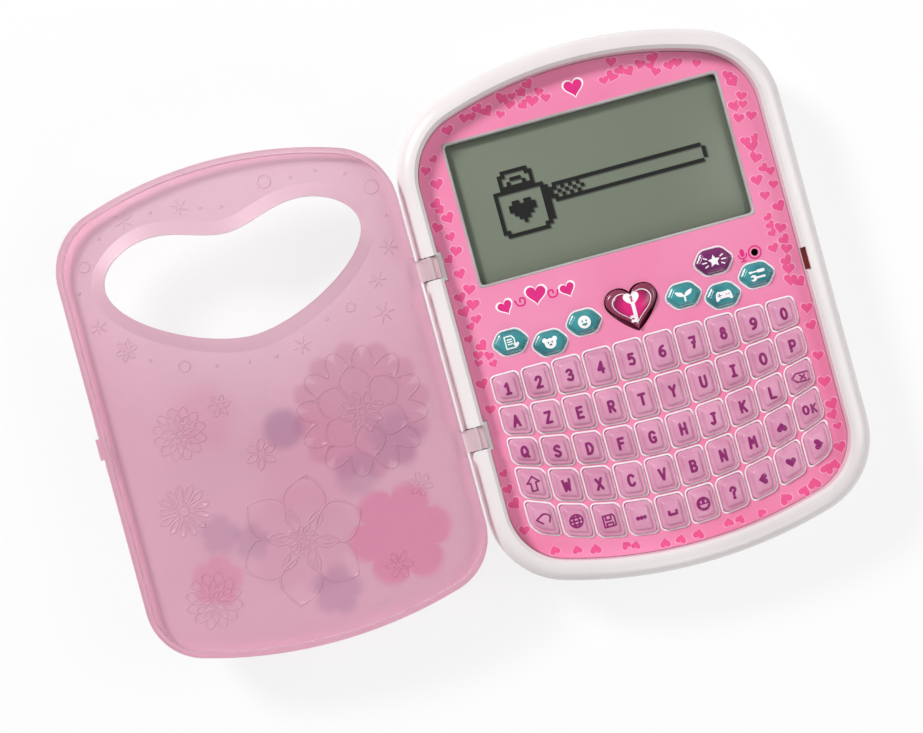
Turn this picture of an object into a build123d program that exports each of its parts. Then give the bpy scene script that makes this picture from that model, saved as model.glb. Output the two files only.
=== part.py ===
from build123d import *
from math import atan2, cos, degrees, radians, sin, sqrt, tan
import os

os.makedirs("parts", exist_ok=True)

# A pocket electronic diary: a two-shell body with a bowed keyboard and a screen, and a lid with a heart
# window that swings on two pins and snaps under a sprung catch. All sizes are in millimetres.
# The origin is the middle of the underside. X runs across the keyboard, Y up it and Z out of it.
# The lid is drawn shut, and swung open flat to the left before it is written.

# ---- body: outline seen from above, and heights ----
body_width = 116.5
body_length = 159.4
body_height = 26.0
top_bow_radius = 127.0
bottom_bow_radius = 146.0
top_corner_radius = 26.2
bottom_corner_radius = 24.2
parting_height = 11.0
base_draft = 4.0  # degrees
base_round = 3.0
base_bands = 3  # flat bands that make up a round
rim_round = 4.5
rim_bands = 4
rim_width = 6.3
rim_inner_bevel = 1.0
case_wall = 2.0
rim_roof = 2.5
rim_hollow = 2.5
recess_depth = 6.0
ledge_thickness = 1.5
ledge_width = 2.0
lip_height = 1.5
lip_thickness = 1.1
fit_gap = 0.15  # between plates and the seats they drop into

# ---- face plate and screen ----
plate_thickness = 1.5
window_width = 0.717 * body_width
window_height = 0.27 * body_length
window_centre_y = 0.24 * body_length
window_chamfer = 0.5
lens_margin = 2.2
lens_thickness = 0.9
frame_wall = 2.0
frame_corner = 4.0
ribbon_thickness = 0.2
ribbon_width = 40.0
ribbon_reach = 5.0

# ---- keys and buttons ----
key_columns = 10
key_pitch = 0.0807 * body_width
key_gap = 1.85
key_corner_cut = 0.9
end_key_corner = 5.3
key_bevel = 1.0
key_bevel_height = 1.3
key_rise = 2.3  # top of a key above the face plate
key_clearance = 0.25
flange_overhang = 0.65
flange_thickness = 1.0
flange_gap = 0.1
keyboard_top = -0.06 * body_length
keyboard_length = 0.37 * body_length
# the lines between the key rows: how far down the keyboard each lies mid-way, and how far its ends rise
row_lines = ((0.0, 0.0), (0.214, 2.7), (0.418, 4.9), (0.608, 6.75), (0.806, 7.95), (1.0, 8.55))
button_rise = 1.9
button_bevel = 0.75
button_corner_cut = 0.6
button_shoulder = 2.2  # the buttons' flanges stop this far short of their sides
function_width = 0.092 * body_width
function_height = 0.042 * body_length
star_width = 0.0995 * body_width
star_height = 0.0445 * body_length
# where the buttons lie, as shares of the body's width and length
button_spots = {
    "button_note": (-0.3245, -0.0100),
    "button_pet": (-0.2275, -0.0304),
    "button_face": (-0.1305, -0.0100),
    "button_sprout": (0.1322, -0.0100),
    "button_game": (0.2292, -0.0295),
    "button_tools": (0.3253, -0.0088),
    "button_star": (0.2283, 0.0364),
    "button_heart": (0.0, -0.0088),
}
heart_width = 0.1348 * body_width
heart_length = 0.0834 * body_length
mic_x = 0.3365 * body_width
mic_y = 0.0326 * body_length
mic_hole_radius = 1.1
mic_radius = 2.3
mic_height = 1.4

# ---- rubber mat and circuit board ----
mat_thickness = 0.5
dome_height = 0.95
dome_size = 4.2
dome_slope = 30.0  # degrees
mat_inset = 12.6
mat_end_y = 0.0753 * body_length
board_thickness = 1.6
board_inset = 6.6
post_radius = 2.0
post_from_side = 9.05
post_rows_y = (0.0753 * body_length, -0.276 * body_length)
# under the board: processor, memory, crystal, two capacitors, sound driver and screen driver, each with the
# shares of the body's width and length at which it lies, and its own width and depth
board_parts = (
    (-0.155, -0.088, 16.0, 16.0),
    (0.069, -0.100, 9.0, 6.0),
    (0.189, -0.100, 8.0, 3.2),
    (-0.292, -0.151, 5.0, 5.0),
    (-0.292, -0.213, 5.0, 5.0),
    (0.258, -0.188, 6.0, 5.0),
    (0.0, 0.301, 9.0, 6.0),
)
board_part_height = 1.2
small_screw_radius = 0.9
small_screw_length = 3.4
small_head_radius = 1.8
small_head_height = 0.9

# ---- case screws ----
case_screw_from_side = 13.25
case_screw_from_end = 16.6
screw_radius = 1.1
head_radius = 2.5
head_height = 1.8
case_boss_radius = 3.6
head_pocket_depth = 6.0
case_screw_length = 8.5
thread_gap = 0.03
hole_gap = 0.3

# ---- batteries ----
cell_count = 3
cell_radius = 5.25
cell_length = 44.5
nub_radius = 1.9
nub_length = 0.8
cell_spacing = 0.5
bay_side_gap = 0.4
bay_end_gap = 2.3
bay_wall = 1.2
bay_roof = 1.0
bay_centre_y = 0.138 * body_length
contact_thickness = 0.4
door_overlap = 0.9
door_gap = 0.25
door_lug_radius = 4.2
door_lug_reach = 4.0
door_tongue_width = 6.0
door_tongue_spread = 16.0
door_tongue_reach = 1.3
door_tongue_thickness = 1.0

# ---- speaker ----
speaker_radius = 14.0
speaker_height = 4.5
speaker_magnet_radius = 7.0
speaker_magnet_height = 2.0
speaker_y = -0.226 * body_length
speaker_ring_wall = 1.2
grille_slots = 7
grille_pitch = 3.0
grille_slot = 1.2
wire_radius = 0.5
wire_spacing = 3.0
wire_bend = 1.4

# ---- lid ----
lid_clearance = 0.45
lid_sink = 0.4  # top of the shut lid below the rim
lid_thickness = 1.5
lid_wall = 1.6
lid_floor_gap = 0.3
lid_edge_bevel = 0.7
lid_open_gap = 0.6
heart_window_half = 0.334 * body_width
heart_window_top_y = 0.3507 * body_length
heart_window_drop = 0.224 * body_length
collar_width = 4.2
collar_depth = 1.8

# ---- hinges and catch ----
hardware_y = -0.6
hinge_spread = 0.3256 * body_length
hinge_drop = 2.2  # hinge axis below the top of the rim
pin_radius = 0.75
pin_gap = 0.05
pin_hold = 2.5
arm_width = 6.5
arm_side_gap = 0.3
arm_under = 1.85
arm_over = 1.5
arm_round = 1.9
tail_end_gap = 0.1
tail_half_height = 1.1
trough_gap = 0.2
sill_gap = 0.05
hinge_block_wall = 0.75
hinge_inner_wall = 1.1
tongue_length = 6.4
tongue_reach = 1.4
tongue_thickness = 1.3
tongue_top_below_lid = 2.6
bump_length = 3.4
bump_spread = 12.0
bump_reach = 0.35
notch_length = 6.85
notch_depth = 1.1
catch_width = 6.3
catch_gap = 0.1
catch_thickness = 1.1
catch_proud = 0.2
nose_height = 1.3
nose_lead = 0.9
catch_foot_thickness = 1.2
catch_foot_below_board = 0.4
catch_foot_length = 6.85
catch_tab_drop = 8.4
plunger_radius = 1.5
plunger_height = 8.5
plunger_gap = 0.08
plunger_length = 10.0
solenoid_length = 12.0
solenoid_width = 12.0
solenoid_top = 12.9
solenoid_stand_off = 3.0
spring_strip = 0.3
spring_height = 4.0
spring_room = 3.8

# ---- places worked out from the sizes above ----
half_width = body_width / 2
half_length = body_length / 2
plate_top = body_height - recess_depth
plate_bottom = plate_top - plate_thickness
ledge_bottom = plate_bottom - ledge_thickness
ledge_inset = rim_width + ledge_width
flange_top = plate_bottom - flange_gap
flange_bottom = flange_top - flange_thickness
mat_bottom = flange_bottom - dome_height - mat_thickness - 0.05
board_top = mat_bottom
board_bottom = board_top - board_thickness
glass_bottom = board_top + ribbon_thickness
lens_bottom = plate_bottom - lens_thickness
key_width = key_pitch - key_gap
keyboard_half = key_pitch * (key_columns - 1) / 2
recess_half = half_width - rim_width
lid_half = recess_half - lid_clearance
hinge_x = -(lid_half + half_width + lid_open_gap) / 2
hinge_height = body_height - hinge_drop
hinge_axis = Axis((hinge_x, 0, hinge_height), (0, 1, 0))
hinge_rows_y = (hardware_y + hinge_spread / 2, hardware_y - hinge_spread / 2)
sill_height = hinge_height - arm_under - sill_gap
tail_length = half_width + hinge_x - tail_end_gap
lid_top = body_height - lid_sink
lid_inner = lid_top - lid_thickness
case_screw_spots = [
    (sx * (half_width - case_screw_from_side), sy * (half_length - case_screw_from_end))
    for sx in (-1, 1)
    for sy in (-1, 1)
]
post_spots = [(sx * (half_width - post_from_side), y) for sx in (-1, 1) for y in post_rows_y]
cell_pitch = 2 * cell_radius + cell_spacing
bay_length = cell_length + 2 * bay_end_gap
bay_breadth = cell_pitch * (cell_count - 1) + 2 * cell_radius + 2 * bay_side_gap
cell_height = case_wall + 0.3 + cell_radius
bay_ceiling = cell_height + cell_radius + 0.3
door_length = bay_length + 2 * door_overlap
door_breadth = bay_breadth + 2 * door_overlap
door_screw_x = door_length / 2 + door_lug_reach
speaker_bottom = case_wall
channel_inner_x = half_width - case_wall - rim_hollow  # rim hollow's inner face on the catch's side
leg_x = channel_inner_x + catch_gap
tongue_top = lid_top - tongue_top_below_lid
nose_bottom = tongue_top + 0.2
nose_top = nose_bottom + nose_height
notch_floor = tongue_top - tongue_thickness - 0.2
foot_top = board_bottom - catch_foot_below_board
tab_x = leg_x + catch_thickness - catch_foot_length - catch_thickness
spring_stop_x = tab_x + catch_thickness + spring_room


# ---- helpers ----
def outline(inset):
    """The body's outline drawn in by inset: straight sides, bowed ends and round corners."""
    side = half_width - inset
    end = half_length - inset
    top_bow = top_bow_radius - inset
    bottom_bow = bottom_bow_radius - inset
    shoulder = end - top_bow + sqrt(top_bow**2 - side**2)
    heel = bottom_bow - end - sqrt(bottom_bow**2 - side**2)
    edge = Curve() + [
        Line((side, heel), (side, shoulder)),
        ThreePointArc((side, shoulder), (0, end), (-side, shoulder)),
        Line((-side, shoulder), (-side, heel)),
        ThreePointArc((-side, heel), (0, -end), (side, heel)),
    ]
    face = make_face(edge)
    face = fillet(face.vertices().group_by(Axis.Y)[-1], top_corner_radius - inset)
    lower = face.vertices().filter_by_position(Axis.Y, heel - 0.1, heel + 0.1)
    return fillet(lower, bottom_corner_radius - inset)


def slab(face, bottom, top):
    """A face drawn at height 0, made solid from bottom to top."""
    return extrude(Pos(0, 0, bottom) * face, top - bottom)


def block(x0, x1, y0, y1, z0, z1):
    """A box given by its faces."""
    middle = Pos((x0 + x1) / 2, (y0 + y1) / 2, (z0 + z1) / 2)
    return middle * Box(abs(x1 - x0), abs(y1 - y0), abs(z1 - z0))


def drum(radius, x, y, z0, z1):
    """An upright cylinder between two heights."""
    return Pos(x, y, (z0 + z1) / 2) * Cylinder(radius, z1 - z0)


def post(radius, x, y, z0, z1):
    """An upright eight-sided post between two heights."""
    return slab(Pos(x, y) * Rot(0, 0, 22.5) * RegularPolygon(radius, 8), z0, z1)


def across(radius, x, z, y0, y1):
    """A cylinder along Y."""
    return Pos(x, (y0 + y1) / 2, z) * Rot(90, 0, 0) * Cylinder(radius, y1 - y0)


def save(name, *shapes):
    """Write one sub-part, of one or more solids."""
    solids = [solid for shape in shapes for solid in shape.solids()]
    export_step(solids[0] if len(solids) == 1 else Compound(solids), f"parts/{name}.step")


# ---- the body's outer form, in its two halves ----
def half_form(height, draft, round_size, bands):
    """Half the body on its parting face: a drafted wall, then a round made of flat bands."""
    wall = height - round_size
    form = extrude(outline(0), wall, taper=draft)
    start = wall * tan(radians(draft))
    turns = [radians(90 * i / bands) for i in range(bands + 1)]
    steps = [(start + round_size * (1 - cos(turn)), wall + round_size * sin(turn)) for turn in turns]
    for (inset, z), (next_inset, next_z) in zip(steps, steps[1:]):
        slope = degrees(atan2(next_inset - inset, next_z - z))
        form += extrude(Pos(0, 0, z) * outline(inset), next_z - z, taper=slope)
    return form


def make_body_form():
    upper = half_form(body_height - parting_height, 0, rim_round, rim_bands)
    lower = half_form(parting_height, base_draft, base_round, base_bands)
    return Pos(0, 0, parting_height) * upper, Pos(0, 0, parting_height) * Rot(0, 180, 0) * lower


def hinge_notch(y):
    """What the hinge arm needs: a way through the rim above the sill, and a trough round the pin."""
    reach = arm_width / 2 + arm_side_gap
    way = block(
        -half_width - 1, -recess_half + hinge_inner_wall + 0.5,
        y - reach, y + reach, sill_height, body_height + 1,
    )
    trough = across(tail_length + trough_gap, hinge_x, hinge_height, y - reach, y + reach)
    return way + trough


def make_front_case(form):
    rim = form - slab(outline(rim_width), plate_bottom, body_height + 1)
    rim = chamfer(rim.faces().sort_by(Axis.Z)[-1].inner_wires()[0].edges(), rim_inner_bevel)
    case = rim - slab(outline(case_wall), parting_height - 1, ledge_bottom)
    case -= slab(outline(ledge_inset), ledge_bottom - 1, plate_bottom + 1)
    hollow = slab(outline(case_wall), ledge_bottom - 1, body_height - rim_roof)
    hollow -= slab(outline(case_wall + rim_hollow), ledge_bottom - 2, body_height)
    case -= hollow
    bore_reach = arm_width / 2 + arm_side_gap + pin_hold
    for y in hinge_rows_y:
        ends = bore_reach + 0.8
        case += rim & block(-half_width - 1, -recess_half, y - ends, y + ends, ledge_bottom, body_height)
        surround = arm_width / 2 + arm_side_gap + hinge_block_wall
        case += block(
            -recess_half - 1, -recess_half + hinge_inner_wall,
            y - surround, y + surround, plate_bottom, sill_height,
        )
    for y in hinge_rows_y:
        case -= hinge_notch(y)
        case -= across(pin_radius + pin_gap, hinge_x, hinge_height, y - bore_reach, y + bore_reach)
    cheeks = notch_length / 2 + 1.5
    case += rim & block(
        channel_inner_x - 0.5, half_width,
        hardware_y - cheeks, hardware_y + cheeks, ledge_bottom, body_height,
    )
    low, high = hardware_y - notch_length / 2, hardware_y + notch_length / 2
    channel_outer_x = half_width - case_wall
    case -= block(recess_half - 1, recess_half + notch_depth, low, high, notch_floor, body_height + 1)
    case -= block(recess_half, channel_outer_x, low, high, notch_floor, nose_top + 0.25)
    case -= block(channel_inner_x, channel_outer_x, low, high, ledge_bottom - 1, notch_floor)
    for x, y in case_screw_spots:
        case += post(case_boss_radius - 0.4, x, y, parting_height, ledge_bottom + 0.5)
        case -= drum(screw_radius, x, y, parting_height - 1, parting_height + case_screw_length - 3.2)
    for x, y in post_spots:
        case += post(post_radius, x, y, board_top, plate_bottom)
        case -= drum(small_screw_radius, x, y, board_top - 1, board_top + 2.0)
    return case


def make_rear_case(form):
    case = form - slab(outline(case_wall), case_wall, parting_height + 1)
    lip_outer = case_wall + fit_gap
    lip = slab(outline(lip_outer), parting_height - 1, parting_height + lip_height)
    lip -= slab(outline(lip_outer + lip_thickness), parting_height - 2, parting_height + lip_height + 1)
    lip_foot = slab(outline(case_wall - 0.5), parting_height - 1, parting_height)
    lip_foot -= slab(outline(lip_outer + lip_thickness), parting_height - 2, parting_height + 1)
    case += lip + lip_foot
    for x, y in case_screw_spots:
        case += post(case_boss_radius, x, y, case_wall / 2, parting_height)
        case -= drum(head_radius + hole_gap, x, y, -1, head_pocket_depth)
        case -= drum(screw_radius + hole_gap, x, y, 0, parting_height + 1)
    bay_x = bay_length / 2 + bay_wall
    bay_y = bay_breadth / 2 + bay_wall
    case += block(
        -bay_x, bay_x, bay_centre_y - bay_y, bay_centre_y + bay_y, case_wall / 2, bay_ceiling + bay_roof
    )
    inner = bay_breadth / 2
    case -= block(
        -bay_length / 2, bay_length / 2, bay_centre_y - inner, bay_centre_y + inner, -1, bay_ceiling
    )
    pad = door_lug_radius + door_gap + bay_wall
    case += drum(pad, door_screw_x, bay_centre_y, case_wall / 2, case_wall + bay_wall)
    case += block(
        bay_x - 0.5, door_screw_x, bay_centre_y - pad, bay_centre_y + pad,
        case_wall / 2, case_wall + bay_wall,
    )
    case += post(case_boss_radius - 0.4, door_screw_x, bay_centre_y, case_wall, parting_height - 1)
    case -= slab(door_face(door_gap), -1, case_wall)
    case -= drum(screw_radius, door_screw_x, bay_centre_y, case_wall - 1, parting_height - 2)
    for y in door_tongue_rows():
        case -= block(
            -bay_x - 1, -bay_length / 2 + 1, y - door_tongue_width / 2 - door_gap,
            y + door_tongue_width / 2 + door_gap,
            case_wall - 0.5, case_wall + door_tongue_thickness + door_gap,
        )
    for end, y in contact_tabs():
        case -= block(
            end - 0.5, end + 0.5, y - 1.25, y + 1.25, bay_ceiling - 1, bay_ceiling + bay_roof + 1
        )
    ring = speaker_radius + fit_gap
    case += drum(ring + speaker_ring_wall, 0, speaker_y, case_wall / 2, case_wall + speaker_height)
    case -= drum(ring, 0, speaker_y, case_wall, case_wall + speaker_height + 1)
    for i in range(grille_slots):
        offset = (i - (grille_slots - 1) / 2) * grille_pitch
        reach = sqrt((speaker_radius - 3) ** 2 - offset**2)
        low = speaker_y + offset - grille_slot / 2
        case -= block(-reach, reach, low, low + grille_slot, -1, case_wall + 1)
    case += block(
        spring_stop_x, spring_stop_x + 1.2, hardware_y - 4, hardware_y + 4, case_wall / 2, parting_height - 1
    )
    solenoid_x = tab_x - solenoid_stand_off - solenoid_length / 2
    case += block(
        solenoid_x - solenoid_length / 2 + 1, solenoid_x + solenoid_length / 2 - 1,
        hardware_y - solenoid_width / 2 + 1, hardware_y + solenoid_width / 2 - 1,
        case_wall / 2, 2 * plunger_height - solenoid_top,
    )
    return case


# ---- face plate, screen ----
def window_face(grow):
    return Pos(0, window_centre_y) * Rectangle(window_width + 2 * grow, window_height + 2 * grow)


def make_face_plate():
    plate = slab(outline(rim_width + fit_gap), plate_bottom, plate_top)
    window = slab(window_face(0), plate_bottom - 1, plate_top + 1)
    plate -= window
    plate -= extrude(
        Pos(0, 0, plate_top) * window_face(window_chamfer), -window_chamfer, taper=45
    )
    for y in hinge_rows_y:
        reach = arm_width / 2 + arm_side_gap + hinge_block_wall + fit_gap
        plate -= block(
            -half_width, -recess_half + hinge_inner_wall + fit_gap, y - reach, y + reach,
            plate_bottom - 1, plate_top + 1,
        )
    holes = [key_face(c, r, key_clearance) for r in range(len(row_lines) - 1) for c in range(key_columns)]
    holes += [button_face(name, key_clearance) for name in button_spots]
    plate -= [slab(hole, plate_bottom - 1, plate_top + 1) for hole in holes]
    return plate - drum(mic_hole_radius, mic_x, mic_y, plate_bottom - 1, plate_top + 1)


def make_screen_lens():
    return slab(fillet(window_face(lens_margin).vertices(), frame_corner), lens_bottom, plate_bottom)


def make_lcd_glass():
    return slab(window_face(lens_margin - frame_wall), glass_bottom, lens_bottom)


def make_lcd_frame():
    outer = fillet(window_face(lens_margin).vertices(), frame_corner)
    frame = slab(outer, board_top, lens_bottom)
    frame -= slab(window_face(lens_margin - frame_wall + fit_gap / 3), board_top - 1, lens_bottom + 1)
    bottom_y = window_centre_y - window_height / 2 - lens_margin
    slit = ribbon_width / 2 + 0.3
    return frame - block(
        -slit, slit, bottom_y - 1, bottom_y + frame_wall + 1, board_top - 1, glass_bottom + 0.05
    )


def make_lcd_ribbon():
    bottom_y = window_centre_y - window_height / 2 - lens_margin
    half = ribbon_width / 2
    return block(-half, half, bottom_y - 2.3, bottom_y + ribbon_reach, board_top, glass_bottom)


# ---- keys and buttons ----
def row_edge(line, x):
    """Height up the panel of a line between key rows, at x. The lines bow down towards the middle."""
    share, bow = row_lines[line]
    return keyboard_top - share * keyboard_length + bow * (x / keyboard_half) ** 2


def key_corners(column, row, grow):
    """A key's corners, anticlockwise from the bottom left, spread by grow."""
    middle = (column - (key_columns - 1) / 2) * key_pitch
    left = middle - key_width / 2 - grow
    right = middle + key_width / 2 + grow
    lift = key_gap / 2 - grow
    return [
        (left, row_edge(row + 1, left) + lift),
        (right, row_edge(row + 1, right) + lift),
        (right, row_edge(row, right) - lift),
        (left, row_edge(row, left) - lift),
    ]


def key_face(column, row, grow=0.0):
    """A key's outline. The two keys in the bottom corners are rounded to the body's curve."""
    corners = key_corners(column, row, grow)
    face = make_face(Polyline(*corners, close=True))
    last_row = row == len(row_lines) - 2
    big = {0: corners[0], key_columns - 1: corners[1]}.get(column) if last_row else None
    for corner in corners:
        vertex = face.vertices().sort_by_distance((*corner, 0))[0]
        if corner == big:
            face = fillet(vertex, end_key_corner + grow)
        else:
            face = chamfer(vertex, key_corner_cut + grow / 2)
    return face


def bevelled(face, bottom, top, bevel, height):
    """An upright prism whose top edge is drawn in by bevel over the given height."""
    shoulder = top - height
    prism = slab(face, bottom, shoulder)
    return prism + extrude(Pos(0, 0, shoulder) * face, height, taper=degrees(atan2(bevel, height)))


def make_key(column, row):
    key = bevelled(key_face(column, row), flange_bottom, plate_top + key_rise, key_bevel, key_bevel_height)
    flange = make_face(Polyline(*key_corners(column, row, flange_overhang), close=True))
    return key + slab(flange, flange_bottom, flange_top)


def hexagon_face(width, height, grow):
    """A long six-sided button outline with its points at the left and right."""
    w = width / 2 + grow
    h = height / 2 + grow
    flat = width / 2 - 0.38 * height
    face = make_face(Polyline((-w, 0), (-flat, -h), (flat, -h), (w, 0), (flat, h), (-flat, h), close=True))
    return chamfer(face.vertices(), button_corner_cut + grow / 2)


def heart_face(width, length, grow):
    """A heart with round lobes and a point, its middle at the origin."""
    w, h = width / 2, length / 2
    right = Curve() + [
        ThreePointArc((0, -h), (w * 0.62, -h * 0.38), (w * 0.97, h * 0.2)),
        ThreePointArc((w * 0.97, h * 0.2), (w * 0.86, h * 0.82), (w * 0.5, h)),
        ThreePointArc((w * 0.5, h), (w * 0.2, h * 0.93), (0, h * 0.68)),
    ]
    heart = make_face(right + mirror(right, Plane.YZ))
    return offset(heart, grow, kind=Kind.INTERSECTION) if grow else heart


def button_place(name):
    return button_spots[name][0] * body_width, button_spots[name][1] * body_length


def button_face(name, grow=0.0):
    if name == "button_heart":
        face = heart_face(heart_width, heart_length, grow)
    elif name == "button_star":
        face = hexagon_face(star_width, star_height, grow)
    else:
        face = hexagon_face(function_width, function_height, grow)
    return Pos(*button_place(name)) * face


def make_button(name):
    face = button_face(name)
    button = bevelled(face, flange_bottom, plate_top + button_rise, button_bevel, key_bevel_height)
    box = face.bounding_box()
    reach = flange_overhang
    return button + block(
        box.min.X + button_shoulder, box.max.X - button_shoulder, box.min.Y - reach, box.max.Y + reach,
        flange_bottom, flange_top,
    )


# ---- inside: mat, board and what is on them ----
def dome_spots():
    spots = []
    for row in range(len(row_lines) - 1):
        for column in range(key_columns):
            corners = key_corners(column, row, 0)
            spots.append((sum(x for x, y in corners) / 4, sum(y for x, y in corners) / 4))
    return spots + [button_place(name) for name in button_spots]


def make_keypad_mat():
    below = Pos(0, mat_end_y - half_length) * Rectangle(body_width, 2 * half_length)
    mat = slab(outline(mat_inset) & below, mat_bottom, mat_bottom + mat_thickness)
    mat -= drum(mic_radius + hole_gap, mic_x, mic_y, mat_bottom - 1, mat_bottom + mat_thickness + 1)
    foot = Pos(0, 0, mat_bottom + mat_thickness) * Rectangle(dome_size, dome_size)
    dome = extrude(foot, dome_height, taper=dome_slope)
    return mat + [Pos(x, y) * dome for x, y in dome_spots()]


def make_main_board():
    board = slab(outline(board_inset), board_bottom, board_top)
    for x, y in case_screw_spots:
        board -= slab(Pos(x, y) * RegularPolygon(case_boss_radius + 0.8, 8), board_bottom - 1, board_top + 1)
    for x, y in post_spots:
        hole = Pos(x, y) * RegularPolygon(small_screw_radius + 0.3, 8)
        board -= slab(hole, board_bottom - 1, board_top + 1)
    return board


def make_board_components():
    return [
        block(
            across_share * body_width - width / 2, across_share * body_width + width / 2,
            along_share * body_length - depth / 2, along_share * body_length + depth / 2,
            board_bottom - board_part_height, board_bottom,
        )
        for across_share, along_share, width, depth in board_parts
    ]


def screw(x, y, head_bottom, head_h, head_r, shank_r, tip):
    """A pan-head screw driven upward, its tip at the given height, with a plain eight-sided shank."""
    shank = slab(Pos(x, y) * RegularPolygon(shank_r, 8), head_bottom + head_h / 2, tip)
    return drum(head_r, x, y, head_bottom, head_bottom + head_h) + shank


def make_case_screws():
    head = head_pocket_depth - head_height
    tip = parting_height + case_screw_length - 4
    shank = screw_radius - thread_gap
    return [screw(x, y, head, head_height, head_radius, shank, tip) for x, y in case_screw_spots]


def make_board_screws():
    head = board_bottom - small_head_height
    tip = board_bottom + small_screw_length
    return [
        screw(x, y, head, small_head_height, small_head_radius, small_screw_radius - thread_gap, tip)
        for x, y in post_spots
    ]


# ---- batteries ----
def cell_rows():
    return [bay_centre_y + (i - (cell_count - 1) / 2) * cell_pitch for i in range(cell_count)]


def make_battery_cells():
    cells = []
    for i, y in enumerate(cell_rows()):
        way = 1 if i % 2 == 0 else -1
        can = Pos(-way * nub_length / 2, y, cell_height) * Rot(0, 90, 0) * Cylinder(
            cell_radius, cell_length - nub_length
        )
        nub = Pos(way * (cell_length - nub_length) / 2, y, cell_height) * Rot(0, 90, 0) * Cylinder(
            nub_radius, nub_length
        )
        cells.append(can + nub)
    return cells


def contact_tabs():
    """Where the first and last contact reach up to the board: x and y."""
    x = bay_length / 2 - contact_thickness / 2
    return [(-x, cell_rows()[0]), (x, cell_rows()[-1])]


def make_battery_contacts():
    """Stamped plates at the bay's ends, each with a sprung stud for every cell it meets."""
    rows = cell_rows()
    groups = ((-1, (rows[0],)), (-1, (rows[1], rows[2])), (1, (rows[0], rows[1])), (1, (rows[2],)))
    plates = []
    for end, ys in groups:
        wall = end * bay_length / 2
        face = wall - end * contact_thickness
        low, high = min(ys) - 4.2, max(ys) + 4.2
        plate = block(wall, face, low, high, case_wall + 1.6, bay_ceiling - 0.3)
        for y in ys:
            stud = extrude(Rectangle(3.6, 3.6), bay_end_gap - contact_thickness - 0.05, taper=20)
            plate += Pos(face, y, cell_height) * Rot(0, -90 * end, 0) * stud
        plates.append(plate)
    for index, (x, y) in zip((0, 3), contact_tabs()):
        half = contact_thickness / 2
        plates[index] += block(x - half, x + half, y - 1, y + 1, bay_ceiling - 1, board_bottom)
    return plates


def door_face(grow):
    """The battery door: a rectangle with a round lug for its screw."""
    plate = Pos(0, bay_centre_y) * Rectangle(door_length + 2 * grow, door_breadth + 2 * grow)
    lug = Pos(door_screw_x, bay_centre_y) * Circle(door_lug_radius + grow)
    neck = Pos(door_screw_x / 2, bay_centre_y) * Rectangle(door_screw_x, 2 * (door_lug_radius + grow))
    return fillet(plate.vertices(), 2.0) + lug + neck


def door_tongue_rows():
    return (bay_centre_y - door_tongue_spread / 2, bay_centre_y + door_tongue_spread / 2)


def make_battery_door():
    door = slab(door_face(0), 0, case_wall)
    tip = -bay_length / 2 - door_tongue_reach
    half = door_tongue_width / 2
    for y in door_tongue_rows():
        door += block(
            tip, -bay_length / 2 + 2, y - half, y + half, case_wall - 0.4, case_wall + door_tongue_thickness
        )
        door -= block(
            tip - 0.1, -door_length / 2 + 0.01, y - half - 0.1, y + half + 0.1, case_wall - 0.5, case_wall
        )
    door -= drum(head_radius + hole_gap, door_screw_x, bay_centre_y, -1, case_wall / 2)
    return door - drum(screw_radius + hole_gap, door_screw_x, bay_centre_y, -1, case_wall + 1)


def make_door_screw():
    head = case_wall / 2 - 0.9
    shank = screw_radius - thread_gap
    return screw(door_screw_x, bay_centre_y, head, 0.9, head_radius, shank, parting_height - 2.5)


# ---- speaker and wires ----
def make_speaker():
    basket = drum(speaker_radius, 0, speaker_y, speaker_bottom, speaker_bottom + speaker_height - 1)
    magnet_top = speaker_bottom + speaker_height + speaker_magnet_height
    magnet_low = speaker_bottom + speaker_height - 1
    return basket + drum(speaker_magnet_radius, 0, speaker_y, magnet_low, magnet_top)


def lead(x0, y0, z0, x1, y1, z1, level):
    """A lead that rises from one terminal, crosses at a level and rises to the board."""
    path = FilletPolyline((x0, y0, z0), (x0, y0, level), (x1, y1, level), (x1, y1, z1), radius=wire_bend)
    section = Plane(origin=path @ 0, z_dir=path % 0) * RegularPolygon(wire_radius, 6)
    return sweep(section, path)


def make_speaker_leads():
    start = speaker_bottom + speaker_height - 1
    level = (start + board_bottom) / 2
    return [
        lead(x, speaker_y + 10.5, start, x, speaker_y + 19, board_bottom, level)
        for x in (-wire_spacing, wire_spacing)
    ]


def make_microphone():
    return drum(mic_radius, mic_x, mic_y, board_top, board_top + mic_height)


# ---- the catch and what drives it ----
def make_lock_catch():
    low, high = hardware_y - catch_width / 2, hardware_y + catch_width / 2
    leg = block(leg_x, leg_x + catch_thickness, low, high, foot_top - catch_foot_thickness, nose_top)
    nose_tip = recess_half - catch_proud
    nose = block(nose_tip, leg_x + 0.1, low, high, nose_bottom, nose_top)
    nose = chamfer(nose.edges().filter_by(Axis.Y).sort_by(Axis.Z)[-2:].sort_by(Axis.X)[0], nose_lead)
    foot = block(tab_x, leg_x + 0.1, low, high, foot_top - catch_foot_thickness, foot_top)
    tab = block(tab_x, tab_x + catch_thickness, low, high, foot_top - catch_tab_drop, foot_top)
    return leg + nose + foot + tab


def make_lock_plunger():
    return Pos(tab_x - plunger_length / 2, hardware_y, plunger_height) * Rot(0, 90, 0) * Cylinder(
        plunger_radius, plunger_length
    )


def make_lock_solenoid():
    right = tab_x - solenoid_stand_off
    half = solenoid_width / 2
    bottom = 2 * plunger_height - solenoid_top
    frame = block(right - solenoid_length, right, hardware_y - half, hardware_y + half, bottom, solenoid_top)
    bore = plunger_length - solenoid_stand_off + 0.5
    return frame - Pos(right - bore / 2, hardware_y, plunger_height) * Rot(0, 90, 0) * Cylinder(
        plunger_radius + plunger_gap, bore
    )


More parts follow.
